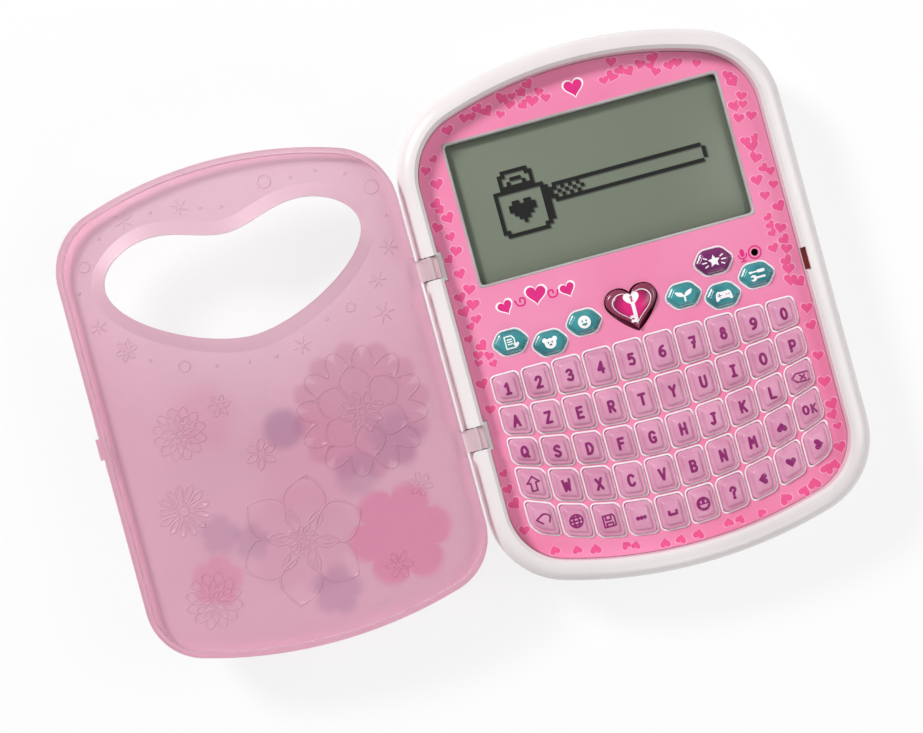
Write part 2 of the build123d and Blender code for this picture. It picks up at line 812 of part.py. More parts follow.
def make_lock_leads():
    right = tab_x - solenoid_stand_off
    x = right - solenoid_length + 2
    level = (solenoid_top + board_bottom) / 2
    return [
        block(x - wire_radius, x + wire_radius, y - wire_radius, y + wire_radius, solenoid_top, board_bottom)
        for y in (hardware_y - wire_spacing, hardware_y + wire_spacing)
    ]


def make_catch_spring():
    """A hairpin of spring strip: one leaf lies on the stop, the other leans on the catch's tab."""
    stop, tab = spring_stop_x, tab_x + catch_thickness
    t = spring_strip
    points = [
        (stop, -3.5), (stop, 3.0), (stop - 1.2, 3.8), (tab + t + 0.1, -1.4), (tab + 0.02, -2.6),
        (tab + 0.02, -3.2), (tab + t, -3.2), (tab + t, -2.7), (tab + 2 * t + 0.1, -1.7),
        (stop - 1.3, 3.3), (stop - t, 2.7), (stop - t, -3.5),
    ]
    face = Pos(0, hardware_y) * make_face(Polyline(*points, close=True))
    return slab(face, plunger_height - spring_height / 2, plunger_height + spring_height / 2)


def make_hinge_pins():
    reach = arm_width / 2 + arm_side_gap + pin_hold - 0.1
    return [across(pin_radius, hinge_x, hinge_height, y - reach, y + reach) for y in hinge_rows_y]


# ---- lid ----
def heart_window(grow):
    """The lid's wide heart opening, spread by grow."""
    half = heart_window_half
    top = heart_window_top_y
    lobe = (half * 0.565, top + grow)
    dip = (0, top - 4.5 + grow)
    side = (half + grow, top - 11.8)
    tip = (0, top - heart_window_drop - grow)
    right = Curve() + [
        Bezier(dip, (7 - 0.35 * grow, dip[1]), (lobe[0] - 8 - 0.3 * grow, lobe[1]), lobe),
        Bezier(lobe, (lobe[0] + 8.5 + 0.4 * grow, lobe[1]), (side[0], side[1] + 6.5 + 0.5 * grow), side),
        Bezier(side, (side[0], side[1] - 11 - 0.5 * grow), (14 + 0.4 * grow, tip[1]), tip),
    ]
    return make_face(right + mirror(right, Plane.YZ))


def funnel(top, depth):
    """The solid between the wide and the narrow heart, going down from top."""
    return loft(
        [Pos(0, 0, top) * heart_window(collar_width), Pos(0, 0, top - depth) * heart_window(0)], ruled=True
    )


def make_hinge_arm(y):
    """One arm of the shut lid: a bar to the pin, a round knuckle and a tail beyond it."""
    low, high = y - arm_width / 2, y + arm_width / 2
    bar = block(
        hinge_x, -lid_half + lid_wall / 2, low, high, hinge_height - arm_over, hinge_height + arm_under
    )
    knuckle = across(arm_round, hinge_x, hinge_height, low, high)
    tail = block(
        hinge_x - tail_length, hinge_x, low, high,
        hinge_height - tail_half_height, hinge_height + tail_half_height,
    )
    tail &= across(tail_length, hinge_x, hinge_height, low, high)
    return bar + knuckle + tail - across(pin_radius + pin_gap, hinge_x, hinge_height, low - 1, high + 1)


def make_lid():
    face = outline(rim_width + lid_clearance)
    lid = slab(face, plate_top + lid_floor_gap, lid_top)
    lid = chamfer(lid.edges().group_by(Axis.Z)[-1], lid_edge_bevel)
    lid -= slab(outline(rim_width + lid_clearance + lid_wall), plate_top - 1, lid_inner)
    lid += funnel(lid_inner, collar_depth)
    lid -= funnel(lid_top, collar_depth)
    lid -= slab(heart_window(0), plate_top, lid_top + 1)
    for y in hinge_rows_y:
        relief = arm_width / 2 + arm_side_gap + hinge_block_wall + 0.3
        lid -= block(
            -lid_half - 1, -lid_half + lid_wall + 0.5, y - relief, y + relief,
            plate_top, hinge_height - arm_over,
        )
        lid += make_hinge_arm(y)
    half = tongue_length / 2
    lid += block(
        lid_half - 1, lid_half + tongue_reach, hardware_y - half, hardware_y + half,
        tongue_top - tongue_thickness, tongue_top,
    )
    for way in (-1, 1):
        middle = hardware_y + way * bump_spread / 2
        lid += block(
            lid_half - 1, lid_half + bump_reach, middle - bump_length / 2, middle + bump_length / 2,
            tongue_top - tongue_thickness, tongue_top,
        )
    return lid.rotate(hinge_axis, 180)


# ---- which keys are written as one sub-part each, and which share one ----
single_keys = {f"key_{(i + 1) % 10}": (i, 0) for i in range(key_columns)}
single_keys |= {
    "key_erase": (9, 2), "key_shift": (0, 3), "key_up": (8, 3), "key_ok": (9, 3), "key_exit": (0, 4),
    "key_space": (4, 4), "key_left": (7, 4), "key_down": (8, 4), "key_right": (9, 4),
}
shared_keys = {
    "letter_keys_top": [(c, 1) for c in range(key_columns)],
    "letter_keys_middle": [(c, 2) for c in range(9)],
    "letter_keys_bottom": [(c, 3) for c in range(1, 8)],
    "symbol_keys": [(c, 4) for c in (1, 2, 3, 5, 6)],
}


def write_all():
    upper, lower = make_body_form()
    save("front_case", make_front_case(upper))
    save("rear_case", make_rear_case(lower))
    save("face_plate", make_face_plate())
    save("screen_lens", make_screen_lens())
    save("lcd_glass", make_lcd_glass())
    save("lcd_frame", make_lcd_frame())
    save("lcd_ribbon", make_lcd_ribbon())
    save("keypad_mat", make_keypad_mat())
    save("main_board", make_main_board())
    save("board_components", *make_board_components())
    save("board_screws", *make_board_screws())
    save("case_screws", *make_case_screws())
    save("battery_cells", *make_battery_cells())
    save("battery_contacts", *make_battery_contacts())
    save("battery_door", make_battery_door())
    save("door_screw", make_door_screw())
    save("speaker", make_speaker())
    save("speaker_leads", *make_speaker_leads())
    save("microphone", make_microphone())
    save("lock_catch", make_lock_catch())
    save("lock_plunger", make_lock_plunger())
    save("lock_solenoid", make_lock_solenoid())
    save("lock_leads", *make_lock_leads())
    save("catch_spring", make_catch_spring())
    save("hinge_pins", *make_hinge_pins())
    save("lid_shell", make_lid())
    for name, (column, row) in single_keys.items():
        save(name, make_key(column, row))
    for name, places in shared_keys.items():
        save(name, *[make_key(column, row) for column, row in places])
    for name in button_spots:
        save(name, make_button(name))


write_all()
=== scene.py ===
import math
import random

import bmesh
import bpy
import numpy as np
from bpy.props import FloatProperty, FloatVectorProperty, IntProperty, PointerProperty
from mathutils import Euler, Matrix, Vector
from mathutils.bvhtree import BVHTree
from mathutils.geometry import delaunay_2d_cdt


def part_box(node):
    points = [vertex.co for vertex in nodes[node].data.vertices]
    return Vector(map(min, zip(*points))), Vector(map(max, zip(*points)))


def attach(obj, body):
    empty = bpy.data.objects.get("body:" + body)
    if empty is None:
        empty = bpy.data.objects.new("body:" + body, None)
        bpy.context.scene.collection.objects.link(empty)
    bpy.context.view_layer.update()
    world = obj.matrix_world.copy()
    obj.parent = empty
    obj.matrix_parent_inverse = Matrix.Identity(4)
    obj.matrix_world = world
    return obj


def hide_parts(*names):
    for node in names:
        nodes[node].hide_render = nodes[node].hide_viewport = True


bl_info = {
    "name": "Pocket diary",
    "version": (1, 0),
    "blender": (4, 5, 0),
    "location": "3D View > Sidebar > Diary",
    "description": "Dresses a pocket electronic diary: shells, panel, screen, keys, buttons and lid",
    "category": "Object",
}

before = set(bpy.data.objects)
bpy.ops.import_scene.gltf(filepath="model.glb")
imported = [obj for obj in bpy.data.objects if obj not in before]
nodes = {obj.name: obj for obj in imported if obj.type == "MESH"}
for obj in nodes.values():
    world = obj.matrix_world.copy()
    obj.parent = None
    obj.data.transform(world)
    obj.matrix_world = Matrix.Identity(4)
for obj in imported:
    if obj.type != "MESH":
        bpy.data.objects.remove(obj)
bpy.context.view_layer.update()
MM = 0.001

# Heights of the frame, read once. All lengths in this script are in metres.
PLATE_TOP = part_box("face_plate")[1].z
KEY_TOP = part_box("key_5")[1].z
BUTTON_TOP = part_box("button_star")[1].z
GLASS_LOW, GLASS_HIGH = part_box("lcd_glass")
FLANGE_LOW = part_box("key_5")[0].z
FLANGE_HIGH = FLANGE_LOW + 1.0 * MM
ARM_START = -58.8 * MM  # the open lid's own edge, past which only its hinge arms lie

JOIN_DISTANCE = 2e-6  # corners nearer than this are one
LEVEL_SLACK = 1e-5  # heights nearer than this are the same
DRESS_ANGLE = 34  # degrees between faces above which a dressed node keeps a sharp edge
CURVE_STEPS = 5  # straight pieces in a rounded corner, or between two points of a smooth path
PRINT_SINK = 0.01 * MM  # how far a print's foot reaches into what it lies on
PRINT_STEP = 0.012 * MM  # height between prints that overlap
PRINT_LIFT = 0.025 * MM  # how far a print stands over a domed top
PRINT_DEPTH = 0.1 * MM  # thickness of a print before it is laid on a domed top
FINE_MESH = 0.5 * MM  # spacing of the points in a print that follows a domed top
FLAT = 0.999  # of a face's direction that is up or down, for the face to count as flat
GRAIN_DEPTH = 0.1 * MM  # height that a full bump stands for
RAY_START = 100 * MM  # a height over everything


# ---- settings a user would change ----
def linear(red, green, blue):
    """A screen colour, 0 to 255 a channel, as the linear colour that Blender stores."""

    def channel(value):
        value /= 255
        return value / 12.92 if value <= 0.04045 else ((value + 0.055) / 1.055) ** 2.4

    return channel(red), channel(green), channel(blue), 1.0


def colour(name, description, red, green, blue):
    """A colour setting, its default given as a screen colour."""
    return FloatVectorProperty(
        name=name, description=description, subtype="COLOR", size=4, min=0, max=1,
        default=linear(red, green, blue),
    )


def length(name, description, millimetres):
    """A length setting, its default given in millimetres."""
    return FloatProperty(
        name=name, description=description, default=millimetres * MM, min=0, unit="LENGTH", precision=5
    )


class DiaryColours(bpy.types.PropertyGroup):
    """The colours a user may change"""

    shell: colour("Shell", "White of the two body shells", 240, 234, 234)
    shell_shade: colour("Shell shade", "Slightly warmer white that drifts through the shells", 232, 224, 224)
    panel: colour("Panel", "Pink of the face plate", 244, 146, 185)
    panel_shade: colour("Panel shade", "Deeper pink that drifts through the face plate", 240, 132, 173)
    print_heart: colour("Printed hearts", "Hearts printed round the panel", 240, 88, 148)
    print_edge: colour("Heart edge", "Thin line round each printed heart", 250, 178, 206)
    print_white: colour("White print", "Lines round the keys, and the buttons' pictures", 254, 250, 252)
    key: colour("Keys", "Mauve of the rubber-feel keys", 222, 156, 186)
    key_shade: colour("Key shade", "Deeper mauve that drifts through the keys", 210, 140, 172)
    legend: colour("Legends", "Purple of the key legends", 140, 16, 104)
    teal: colour("Teal buttons", "Colour of the six function buttons", 66, 158, 162)
    teal_shade: colour("Teal shade", "Deeper teal that drifts through the buttons", 44, 124, 132)
    plum: colour("Plum button", "Colour of the star button", 132, 44, 112)
    plum_shade: colour("Plum shade", "Deeper plum", 108, 30, 94)
    heart_rim: colour("Heart rim", "Dark rim of the heart button", 146, 58, 88)
    heart_face: colour("Heart face", "Magenta face of the heart button", 224, 34, 124)
    magenta: colour("Magenta print", "Microphone picture and ring", 228, 36, 132)
    lid: colour("Lid", "Frosted pink of the lid", 236, 186, 206)
    lid_bloom: colour("Lid bloom", "Pink of the soft flowers printed under the lid", 232, 120, 168)
    lid_violet: colour("Lid violet", "Violet of the soft flowers printed under the lid", 164, 118, 160)
    lid_dusk: colour("Lid dusk", "Dusky pink of the large flower printed under the lid", 206, 124, 160)
    # Painted light: a paler pink laid softly over the lid's upper part, round its window, standing in for
    # light that falls there.
    lid_painted_light: colour("Lid light", "Paler pink round the lid's window", 250, 222, 234)
    lcd: colour("Screen", "Grey green of the switched-on display", 138, 148, 130)
    lcd_dark: colour("Screen pixels", "Dark of the display's pixels", 10, 10, 9)


class DiarySizes(bpy.types.PropertyGroup):
    """The sizes a user may change"""

    outline_width: length("Outline width", "Width of the white line round each key", 0.58)
    outline_gap: length("Outline overlap", "How far the white line reaches over a key hole's edge", 0.12)
    print_height: length("Print height", "Thickness of the printed ink", 0.03)
    heart_size: length("Heart size", "Width of a printed heart", 3.7)
    heart_count: IntProperty(name="Hearts", description="The most hearts round the panel", default=120, min=0)
    legend_height: length("Legend height", "Height of a key's legend", 3.9)
    legend_stroke: length("Legend stroke", "Width of a legend's strokes", 0.84)
    key_dome: length("Key dome", "How far a key's top rises to its middle", 0.5)
    button_dome: length("Button dome", "How far a button's top rises to its middle", 0.16)
    relief_height: length("Relief height", "Height of the lines moulded on the lid", 0.26)
    relief_width: length("Relief width", "Half width of the lines moulded on the lid", 0.3)
    pixel: length("Pixel", "Size of a display pixel", 1.18)


def colours():
    """The scene's colours, as the panel shows them."""
    return bpy.context.scene.diary_colours


def sizes():
    """The scene's sizes, as the panel shows them."""
    return bpy.context.scene.diary_sizes


def darker(tone, share):
    """A colour with its channels scaled down."""
    return tuple(value * share for value in tone[:3]) + (1.0,)


# ---- nodes ----
def new_nodes(tree, *kinds):
    """New nodes of the given kinds in a tree."""
    return [tree.nodes.new(kind) for kind in kinds]


def wire(tree, *links):
    """Links sockets, each link given as a node, its output, the next node and its input."""
    for giver, output, taker, entry in links:
        tree.links.new(giver.outputs[output], taker.inputs[entry])


def set_inputs(node, values):
    """Sets a node's inputs by name or number."""
    for label, value in values.items():
        node.inputs[label].default_value = value


# ---- shader groups ----
def shader_group(name, entries, results):
    """An empty shader group with its sockets. Gives the group and the nodes at its two ends."""
    group = bpy.data.node_groups.new(name, "ShaderNodeTree")
    for label, kind, value in entries:
        made = group.interface.new_socket(name=label, in_out="INPUT", socket_type="NodeSocket" + kind)
        if value is not None:
            made.default_value = value
    for label, kind in results:
        group.interface.new_socket(name=label, in_out="OUTPUT", socket_type="NodeSocket" + kind)
    return group, *new_nodes(group, "NodeGroupInput", "NodeGroupOutput")


def drift_group(name):
    """Slow cloudy drift between two colours, in the object's own coordinates."""
    group, inputs, outputs = shader_group(
        name, (("First", "Color", None), ("Second", "Color", None), ("Size", "Float", 40.0)),
        (("Colour", "Color"),),
    )
    place, noise, spread, mix = new_nodes(
        group, "ShaderNodeTexCoord", "ShaderNodeTexNoise", "ShaderNodeMapRange", "ShaderNodeMix"
    )
    mix.data_type = "RGBA"
    set_inputs(noise, {"Detail": 3.0})
    set_inputs(spread, {"From Min": 0.35, "From Max": 0.65})
    wire(
        group, (place, "Object", noise, "Vector"), (inputs, "Size", noise, "Scale"),
        (noise, "Fac", spread, "Value"), (spread, "Result", mix, "Factor"), (inputs, "First", mix, "A"),
        (inputs, "Second", mix, "B"), (mix, "Result", outputs, "Colour"),
    )
    return group


def grain_group(name):
    """Fine moulding grain: a height for the bump, and a roughness that drifts as handling leaves it."""
    group, inputs, outputs = shader_group(
        name, (("Size", "Float", 2500.0), ("Roughness", "Float", 0.4), ("Spread", "Float", 0.08)),
        (("Height", "Float"), ("Roughness", "Float")),
    )
    place, noise, smear, shift, scaled, total = new_nodes(
        group, "ShaderNodeTexCoord", "ShaderNodeTexNoise", "ShaderNodeTexNoise", *["ShaderNodeMath"] * 3
    )
    shift.operation, scaled.operation, total.operation = "SUBTRACT", "MULTIPLY", "ADD"
    set_inputs(shift, {1: 0.5})
    set_inputs(noise, {"Detail": 2.0})
    set_inputs(smear, {"Scale": 60.0, "Detail": 4.0})
    wire(
        group, (place, "Object", noise, "Vector"), (place, "Object", smear, "Vector"),
        (inputs, "Size", noise, "Scale"), (noise, "Fac", outputs, "Height"), (smear, "Fac", shift, 0),
        (shift, 0, scaled, 0), (inputs, "Spread", scaled, 1), (scaled, 0, total, 0),
        (inputs, "Roughness", total, 1), (total, 0, outputs, "Roughness"),
    )
    return group


def bloom_group(name):
    """A soft flower-shaped stain: its middle, radius and petals give a mask that fades at the edge."""
    group, inputs, outputs = shader_group(
        name, (
            ("Middle", "Vector", None), ("Radius", "Float", 0.01), ("Petals", "Float", 5.0),
            ("Strength", "Float", 0.5), ("Crispness", "Float", 4.0),
        ), (("Mask", "Float"),),
    )
    place, apart, parts = new_nodes(
        group, "ShaderNodeTexCoord", "ShaderNodeVectorMath", "ShaderNodeSeparateXYZ"
    )
    apart.operation = "SUBTRACT"
    wire(group, (place, "Object", apart, 0), (inputs, "Middle", apart, 1), (apart, "Vector", parts, "Vector"))

    def math_node(kind, first, second=None, clamp=False):
        node = group.nodes.new("ShaderNodeMath")
        node.operation = kind
        node.use_clamp = clamp
        for index, value in enumerate((first, second)):
            if isinstance(value, (int, float)):
                node.inputs[index].default_value = value
            elif value is not None:
                group.links.new(value, node.inputs[index])
        return node.outputs[0]

    x, y = parts.outputs["X"], parts.outputs["Y"]
    away = math_node("SQRT", math_node("ADD", math_node("MULTIPLY", x, x), math_node("MULTIPLY", y, y)))
    turn = math_node("ARCTAN2", y, x)
    half = math_node("MULTIPLY", inputs.outputs["Petals"], 0.5)
    wave = math_node("COSINE", math_node("MULTIPLY", turn, half))
    lobe = math_node("POWER", math_node("ABSOLUTE", wave), 0.5)
    swell = math_node("ADD", math_node("MULTIPLY", lobe, 0.3), 0.7)
    share = math_node("DIVIDE", away, math_node("MULTIPLY", inputs.outputs["Radius"], swell))
    fade = math_node("MULTIPLY", math_node("SUBTRACT", 1.1, share), inputs.outputs["Crispness"], clamp=True)
    group.links.new(math_node("MULTIPLY", fade, inputs.outputs["Strength"]), outputs.inputs["Mask"])
    return group


GROUPS = {"colour_drift": drift_group, "fine_grain": grain_group, "soft_bloom": bloom_group}


def use_group(tree, name):
    """Places a shader group in a tree. The group is built when it is first asked for."""
    made = tree.nodes.new("ShaderNodeGroup")
    made.node_tree = bpy.data.node_groups.get(name) or GROUPS[name](name)
    return made


# ---- materials ----
def finish_material(
    name, first, second, rough=0.4, spread=0.08, drift=40.0, grain=2500.0, depth=0.05, metal=0.0, coat=0.0,
    specular=0.5, transmission=0.0, alpha=1.0, ior=1.5,
):
    """A moulded or metal finish: drifting colour, fine grain and uneven gloss."""
    name = "diary_" + name
    made = bpy.data.materials.get(name)
    if made:
        return made
    made = bpy.data.materials.new(name)
    made.use_nodes = True
    tree = made.node_tree
    shader = tree.nodes["Principled BSDF"]
    tones, surface = use_group(tree, "colour_drift"), use_group(tree, "fine_grain")
    set_inputs(tones, {"First": tuple(first), "Second": tuple(second), "Size": drift})
    set_inputs(surface, {"Size": grain, "Roughness": rough, "Spread": spread})
    wire(tree, (tones, "Colour", shader, "Base Color"), (surface, "Roughness", shader, "Roughness"))
    if depth:
        bump = tree.nodes.new("ShaderNodeBump")
        set_inputs(bump, {"Strength": depth, "Distance": GRAIN_DEPTH})
        wire(tree, (surface, "Height", bump, "Height"), (bump, "Normal", shader, "Normal"))
    set_inputs(shader, {
        "Metallic": metal, "Coat Weight": coat, "Coat Roughness": 0.12, "Specular IOR Level": specular,
        "Transmission Weight": transmission, "Alpha": alpha, "IOR": ior,
    })
    return made


def ink(name, tone, rough=0.45):
    """A thin print of one colour."""
    return finish_material(name, tone, darker(tone, 0.93), rough=rough, grain=3000.0, depth=0.02, drift=300.0)


def stained(material, blooms):
    """Mixes soft blooms into a material's colour.

    Each bloom gives its middle, radius, petals, strength, crispness and tone, its lengths in millimetres.
    """
    tree = material.node_tree
    shader = tree.nodes["Principled BSDF"]
    source = shader.inputs["Base Color"].links[0].from_socket
    for (x, y), radius, petals, strength, crispness, tone in blooms:
        mask, mix = use_group(tree, "soft_bloom"), tree.nodes.new("ShaderNodeMix")
        set_inputs(mask, {
            "Middle": (x * MM, y * MM, 0), "Radius": radius * MM, "Petals": petals, "Strength": strength,
            "Crispness": crispness,
        })
        mix.data_type = "RGBA"
        wire(tree, (mask, "Mask", mix, "Factor"))
        tree.links.new(source, mix.inputs["A"])
        mix.inputs["B"].default_value = tuple(tone)
        source = mix.outputs["Result"]
    tree.links.new(source, shader.inputs["Base Color"])
    return material


# ---- mesh helpers ----
def merged(node):
    """A copy of a frame node's mesh with its loose corners joined."""
    mesh = bmesh.new()
    mesh.from_mesh(nodes[node].data)
    bmesh.ops.remove_doubles(mesh, verts=mesh.verts, dist=JOIN_DISTANCE)
    return mesh


def linked(name, data):
    """A new object of the scene that holds the data."""
    made = bpy.data.objects.new(name, data)
    bpy.context.scene.collection.objects.link(made)
    return made


def placed(name, mesh, materials=()):
    """A mesh made an object of the scene."""
    data = bpy.data.meshes.new(name)
    mesh.to_mesh(data)
    mesh.free()
    for material in materials:
        data.materials.append(material)
    return linked(name, data)


def to_object(name, mesh, body, materials, smooth=None):
    """A mesh made an object that rides on a body. Edges flatter than smooth degrees are shaded round."""
    if smooth is not None:
        for edge in mesh.edges:
            edge.smooth = edge.is_manifold and edge.calc_face_angle(0) < math.radians(smooth)
        for face in mesh.faces:
            face.smooth = True
    made = placed(name, mesh, materials)
    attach(made, body)
    return made


def dress(node, material):
    """Gives a frame node its material, joined corners and round shading."""
    made = nodes[node]
    data = made.data
    old = data.attributes.get("custom_normal")
    if old:
        data.attributes.remove(old)
    data.shade_smooth()
    data.materials.clear()
    data.materials.append(material)
    made.modifiers.new("join", "WELD").merge_threshold = JOIN_DISTANCE
    made.modifiers.new("crisp", "EDGE_SPLIT").split_angle = math.radians(DRESS_ANGLE)


def area_of(points):
    """The area in a closed outline, above zero where it runs anticlockwise."""
    return sum(a[0] * b[1] - b[0] * a[1] for a, b in zip(points, points[1:] + points[:1])) / 2


def box_of(points):
    """The left, low, right and high ends of some points, seen from above."""
    xs, ys = [point[0] for point in points], [point[1] for point in points]
    return min(xs), min(ys), max(xs), max(ys)


def middle_of(points):
    """The middle of the box round some points, seen from above."""
    left, low, right, high = box_of(points)
    return (left + right) / 2, (low + high) / 2


def spans_of(points):
    """How wide and how deep the box round some points is."""
    left, low, right, high = box_of(points)
    return right - left, high - low


def rectangle(left, low, right, high):
    """A rectangle's corners, anticlockwise."""
    return [(left, low), (right, low), (right, high), (left, high)]


def shapes_at(shapes, x, y):
    """Outlines given in millimetres, moved to a place and turned into metres."""
    return [[(x + px * MM, y + py * MM) for px, py in shape] for shape in shapes]


def spread_loop(points, distance):
    """A closed anticlockwise outline moved outwards by a distance."""
    made = []
    count = len(points)
    for index in range(count):
        before, here, after = (Vector(points[(index + step) % count]) for step in (-1, 0, 1))
        first, second = (here - before).normalized(), (after - here).normalized()
        normal = Vector((first.y + second.y, -first.x - second.x))
        if normal.length < 1e-9:
            normal = Vector((first.y, -first.x))
        normal.normalize()
        stretch = max(0.5, normal.dot(Vector((first.y, -first.x))))
        made.append(tuple(here + normal * (distance / stretch)))
    return made


def turn_at(before, here, after):
    """How far an outline turns at a corner, in degrees."""
    first, second = Vector(here) - Vector(before), Vector(after) - Vector(here)
    if first.length < 1e-9 or second.length < 1e-9:
        return 0.0
    return math.degrees(abs(first.angle(second)))


def sharp_corners(loop):
    """A closed outline with its short cut corners drawn out to a point again."""
    longest = 1.5 * MM  # of a side that cuts a corner off
    least_turn = 18  # degrees at each end of such a side
    count = len(loop)
    turns = [turn_at(loop[i - 1], loop[i], loop[(i + 1) % count]) for i in range(count)]
    made, skip = [], False
    for i in range(count):
        if skip:
            skip = False
            continue
        a, b = Vector(loop[i]), Vector(loop[(i + 1) % count])
        if (b - a).length < longest and turns[i] > least_turn and turns[(i + 1) % count] > least_turn:
            before, after = Vector(loop[i - 1]), Vector(loop[(i + 2) % count])
            way, other = a - before, after - b
            share = ((b.x - a.x) * other.y - (b.y - a.y) * other.x) / (way.x * other.y - way.y * other.x)
            made.append(tuple(a + way * share))
            skip = True
            if i == count - 1:
                made.pop(0)
        else:
            made.append(tuple(a))
    return made


def soften(loop, cut):
    """A closed outline with its corners rounded, each cut back by up to a length."""
    least_turn = 14  # degrees, and flatter corners stay as they are
    most_share = 0.49  # of a side that the rounding at one of its ends may take
    made = []
    count = len(loop)
    for i in range(count):
        here = Vector(loop[i])
        back, on = Vector(loop[i - 1]) - here, Vector(loop[(i + 1) % count]) - here
        if turn_at(loop[i - 1], loop[i], loop[(i + 1) % count]) < least_turn:
            made.append(tuple(here))
            continue
        near = min(cut, back.length * most_share, on.length * most_share)
        start, end = here + back.normalized() * near, here + on.normalized() * near
        for step in range(CURVE_STEPS + 1):
            t = step / CURVE_STEPS
            made.append(tuple(start * (1 - t) ** 2 + here * 2 * t * (1 - t) + end * t**2))
    return made


def add_rings(mesh, rings, closed=False):
    """Walls between rings of points, each ring a list of places with the same count."""
    made = [[mesh.verts.new(place) for place in level] for level in rings]
    pairs = list(zip(made, made[1:])) + ([(made[-1], made[0])] if closed else [])
    for lower, upper in pairs:
        for i in range(len(lower)):
            j = (i + 1) % len(lower)
            mesh.faces.new((lower[i], lower[j], upper[j], upper[i]))
    return made


def shrunk(loop, distance):
    """A closed outline scaled towards its middle, so that its sides come in by about a distance."""
    x, y = middle_of(loop)
    share = 1 - 2 * distance / spans_of(loop)[0]
    return [(x + (px - x) * share, y + (py - y) * share) for px, py in loop]


def add_cap(mesh, corners, steps, top, dome, cut):
    """A key or button: its outline drawn in and up by steps in millimetres, under a gently domed top.

    The outline's corners are rounded by the cut, less further in. Where there is no cut it is scaled instead.
    """
    least_cut, cut_loss = 0.3 * MM, 0.55  # the second is how much less is cut for each length further in
    dome_shares = (0.85, 0.7, 0.55, 0.4, 0.2)  # of the way out from the middle, for the rings of the dome
    rings = []
    for inset, rise in steps:
        if cut:
            rounding = max(least_cut, cut - cut_loss * inset * MM)
            path = soften(spread_loop(corners, -inset * MM), rounding)
        else:
            path = shrunk(corners, inset * MM)
        rings.append([(x, y, top + rise * MM) for x, y in path])
    last = rings[-1]
    middle = Vector(middle_of(last))
    wide, deep = (span / 2 for span in spans_of(last))
    for share in dome_shares:
        level = []
        for x, y, z in last:
            turn = math.atan2((y - middle.y) / deep, (x - middle.x) / wide)
            way = Vector((x - middle.x, y - middle.y)) * share
            way += Vector((wide * math.cos(turn), deep * math.sin(turn))) * (1 - share)
            level.append((middle.x + way.x * share, middle.y + way.y * share, z + dome * (1 - share**2)))
        rings.append(level)
    made = add_rings(mesh, rings)
    tip = mesh.verts.new((middle.x, middle.y, last[0][2] + dome))
    for a, b in zip(made[-1], made[-1][1:] + made[-1][:1]):
        mesh.faces.new((a, b, tip))
    mesh.faces.new(made[0][::-1])


def divided(loop, longest):
    """A closed outline with its long sides split, so that it can follow a curved surface."""
    made = []
    for a, b in zip(loop, loop[1:] + loop[:1]):
        parts = max(1, math.ceil(math.dist(a, b) / longest))
        made += [(a[0] + (b[0] - a[0]) * i / parts, a[1] + (b[1] - a[1]) * i / parts) for i in range(parts)]
    return made


def add_print(mesh, outlines, low, high, holes=(), fine=0.0):
    """One thin solid that covers all the outlines together, less the holes, meshed finely where asked."""
    points, edges = [], []
    if fine:
        outlines, holes = ([divided(loop, fine) for loop in loops] for loops in (outlines, holes))
        left, near, right, far = box_of([point for loop in outlines for point in loop])
        columns, rows = np.arange(left, right, fine), np.arange(near, far, fine)
        points = [Vector((x, y)) for x in columns for y in rows]
    for loop in (*outlines, *holes):
        first, count = len(points), len(loop)
        points += [Vector(point) for point in loop]
        edges += [(first + i, first + (i + 1) % count) for i in range(count)]
    spots, _, triangles, *_ = delaunay_2d_cdt(points, edges, [], 0, 1e-8, False)
    flat = np.array([tuple(spot) for spot in spots])
    middles = flat[np.array(triangles)].mean(1)
    keep = np.zeros(len(triangles), bool)
    for loop in outlines:
        keep |= inside(loop, middles[:, 0], middles[:, 1])
    for loop in holes:
        keep &= ~inside(loop, middles[:, 0], middles[:, 1])
    chosen = []
    for (a, b, c), kept in zip(triangles, keep):
        if kept:
            turned = area_of([tuple(flat[i]) for i in (a, b, c)]) < 0
            chosen.append((a, c, b) if turned else (a, b, c))
    used = sorted({i for triangle in chosen for i in triangle})
    top = {i: mesh.verts.new((*flat[i], high)) for i in used}
    bottom = {i: mesh.verts.new((*flat[i], low)) for i in used}
    sides = {(a, b) for t in chosen for a, b in zip(t, t[1:] + t[:1])}
    for a, b, c in chosen:
        mesh.faces.new((top[a], top[b], top[c]))
        mesh.faces.new((bottom[a], bottom[c], bottom[b]))
    for a, b in sides:
        if (b, a) not in sides:
            mesh.faces.new((bottom[a], bottom[b], top[b], top[a]))


def drape(mesh, surface, lift):
    """Lays a print on a surface: its top stands a little above it everywhere, and its foot just under it."""
    tree = BVHTree.FromBMesh(surface)
    middle = sum(vert.co.z for vert in mesh.verts) / len(mesh.verts)
    for vert in mesh.verts:
        hit = tree.ray_cast(Vector((vert.co.x, vert.co.y, RAY_START)), Vector((0, 0, -1)))[0]
        if hit:
            vert.co.z = hit.z + (lift if vert.co.z > middle else -0.5 * lift)


def add_slab(mesh, points, low, high):
    """A thin solid on a flat outline."""
    if area_of(points) < 0:
        points = points[::-1]
    bottom, top = ([mesh.verts.new((x, y, z)) for x, y in points] for z in (low, high))
    mesh.faces.new(bottom[::-1])
    mesh.faces.new(top)
    for i in range(len(points)):
        j = (i + 1) % len(points)
        mesh.faces.new((bottom[i], bottom[j], top[j], top[i]))


def round_path(points):
    """A smooth path through the points."""
    if len(points) < 3:
        return list(points)
    ends = [points[0], *points, points[-1]]
    made = []
    for a, b, c, d in zip(ends, ends[1:], ends[2:], ends[3:]):
        for step in range(CURVE_STEPS):
            t = step / CURVE_STEPS
            made.append(tuple(
                0.5 * (2 * q + (r - p) * t + (2 * p - 5 * q + 4 * r - s) * t**2
                       + (3 * q - p - 3 * r + s) * t**3)
                for p, q, r, s in zip(a, b, c, d)
            ))
    return made + [points[-1]]


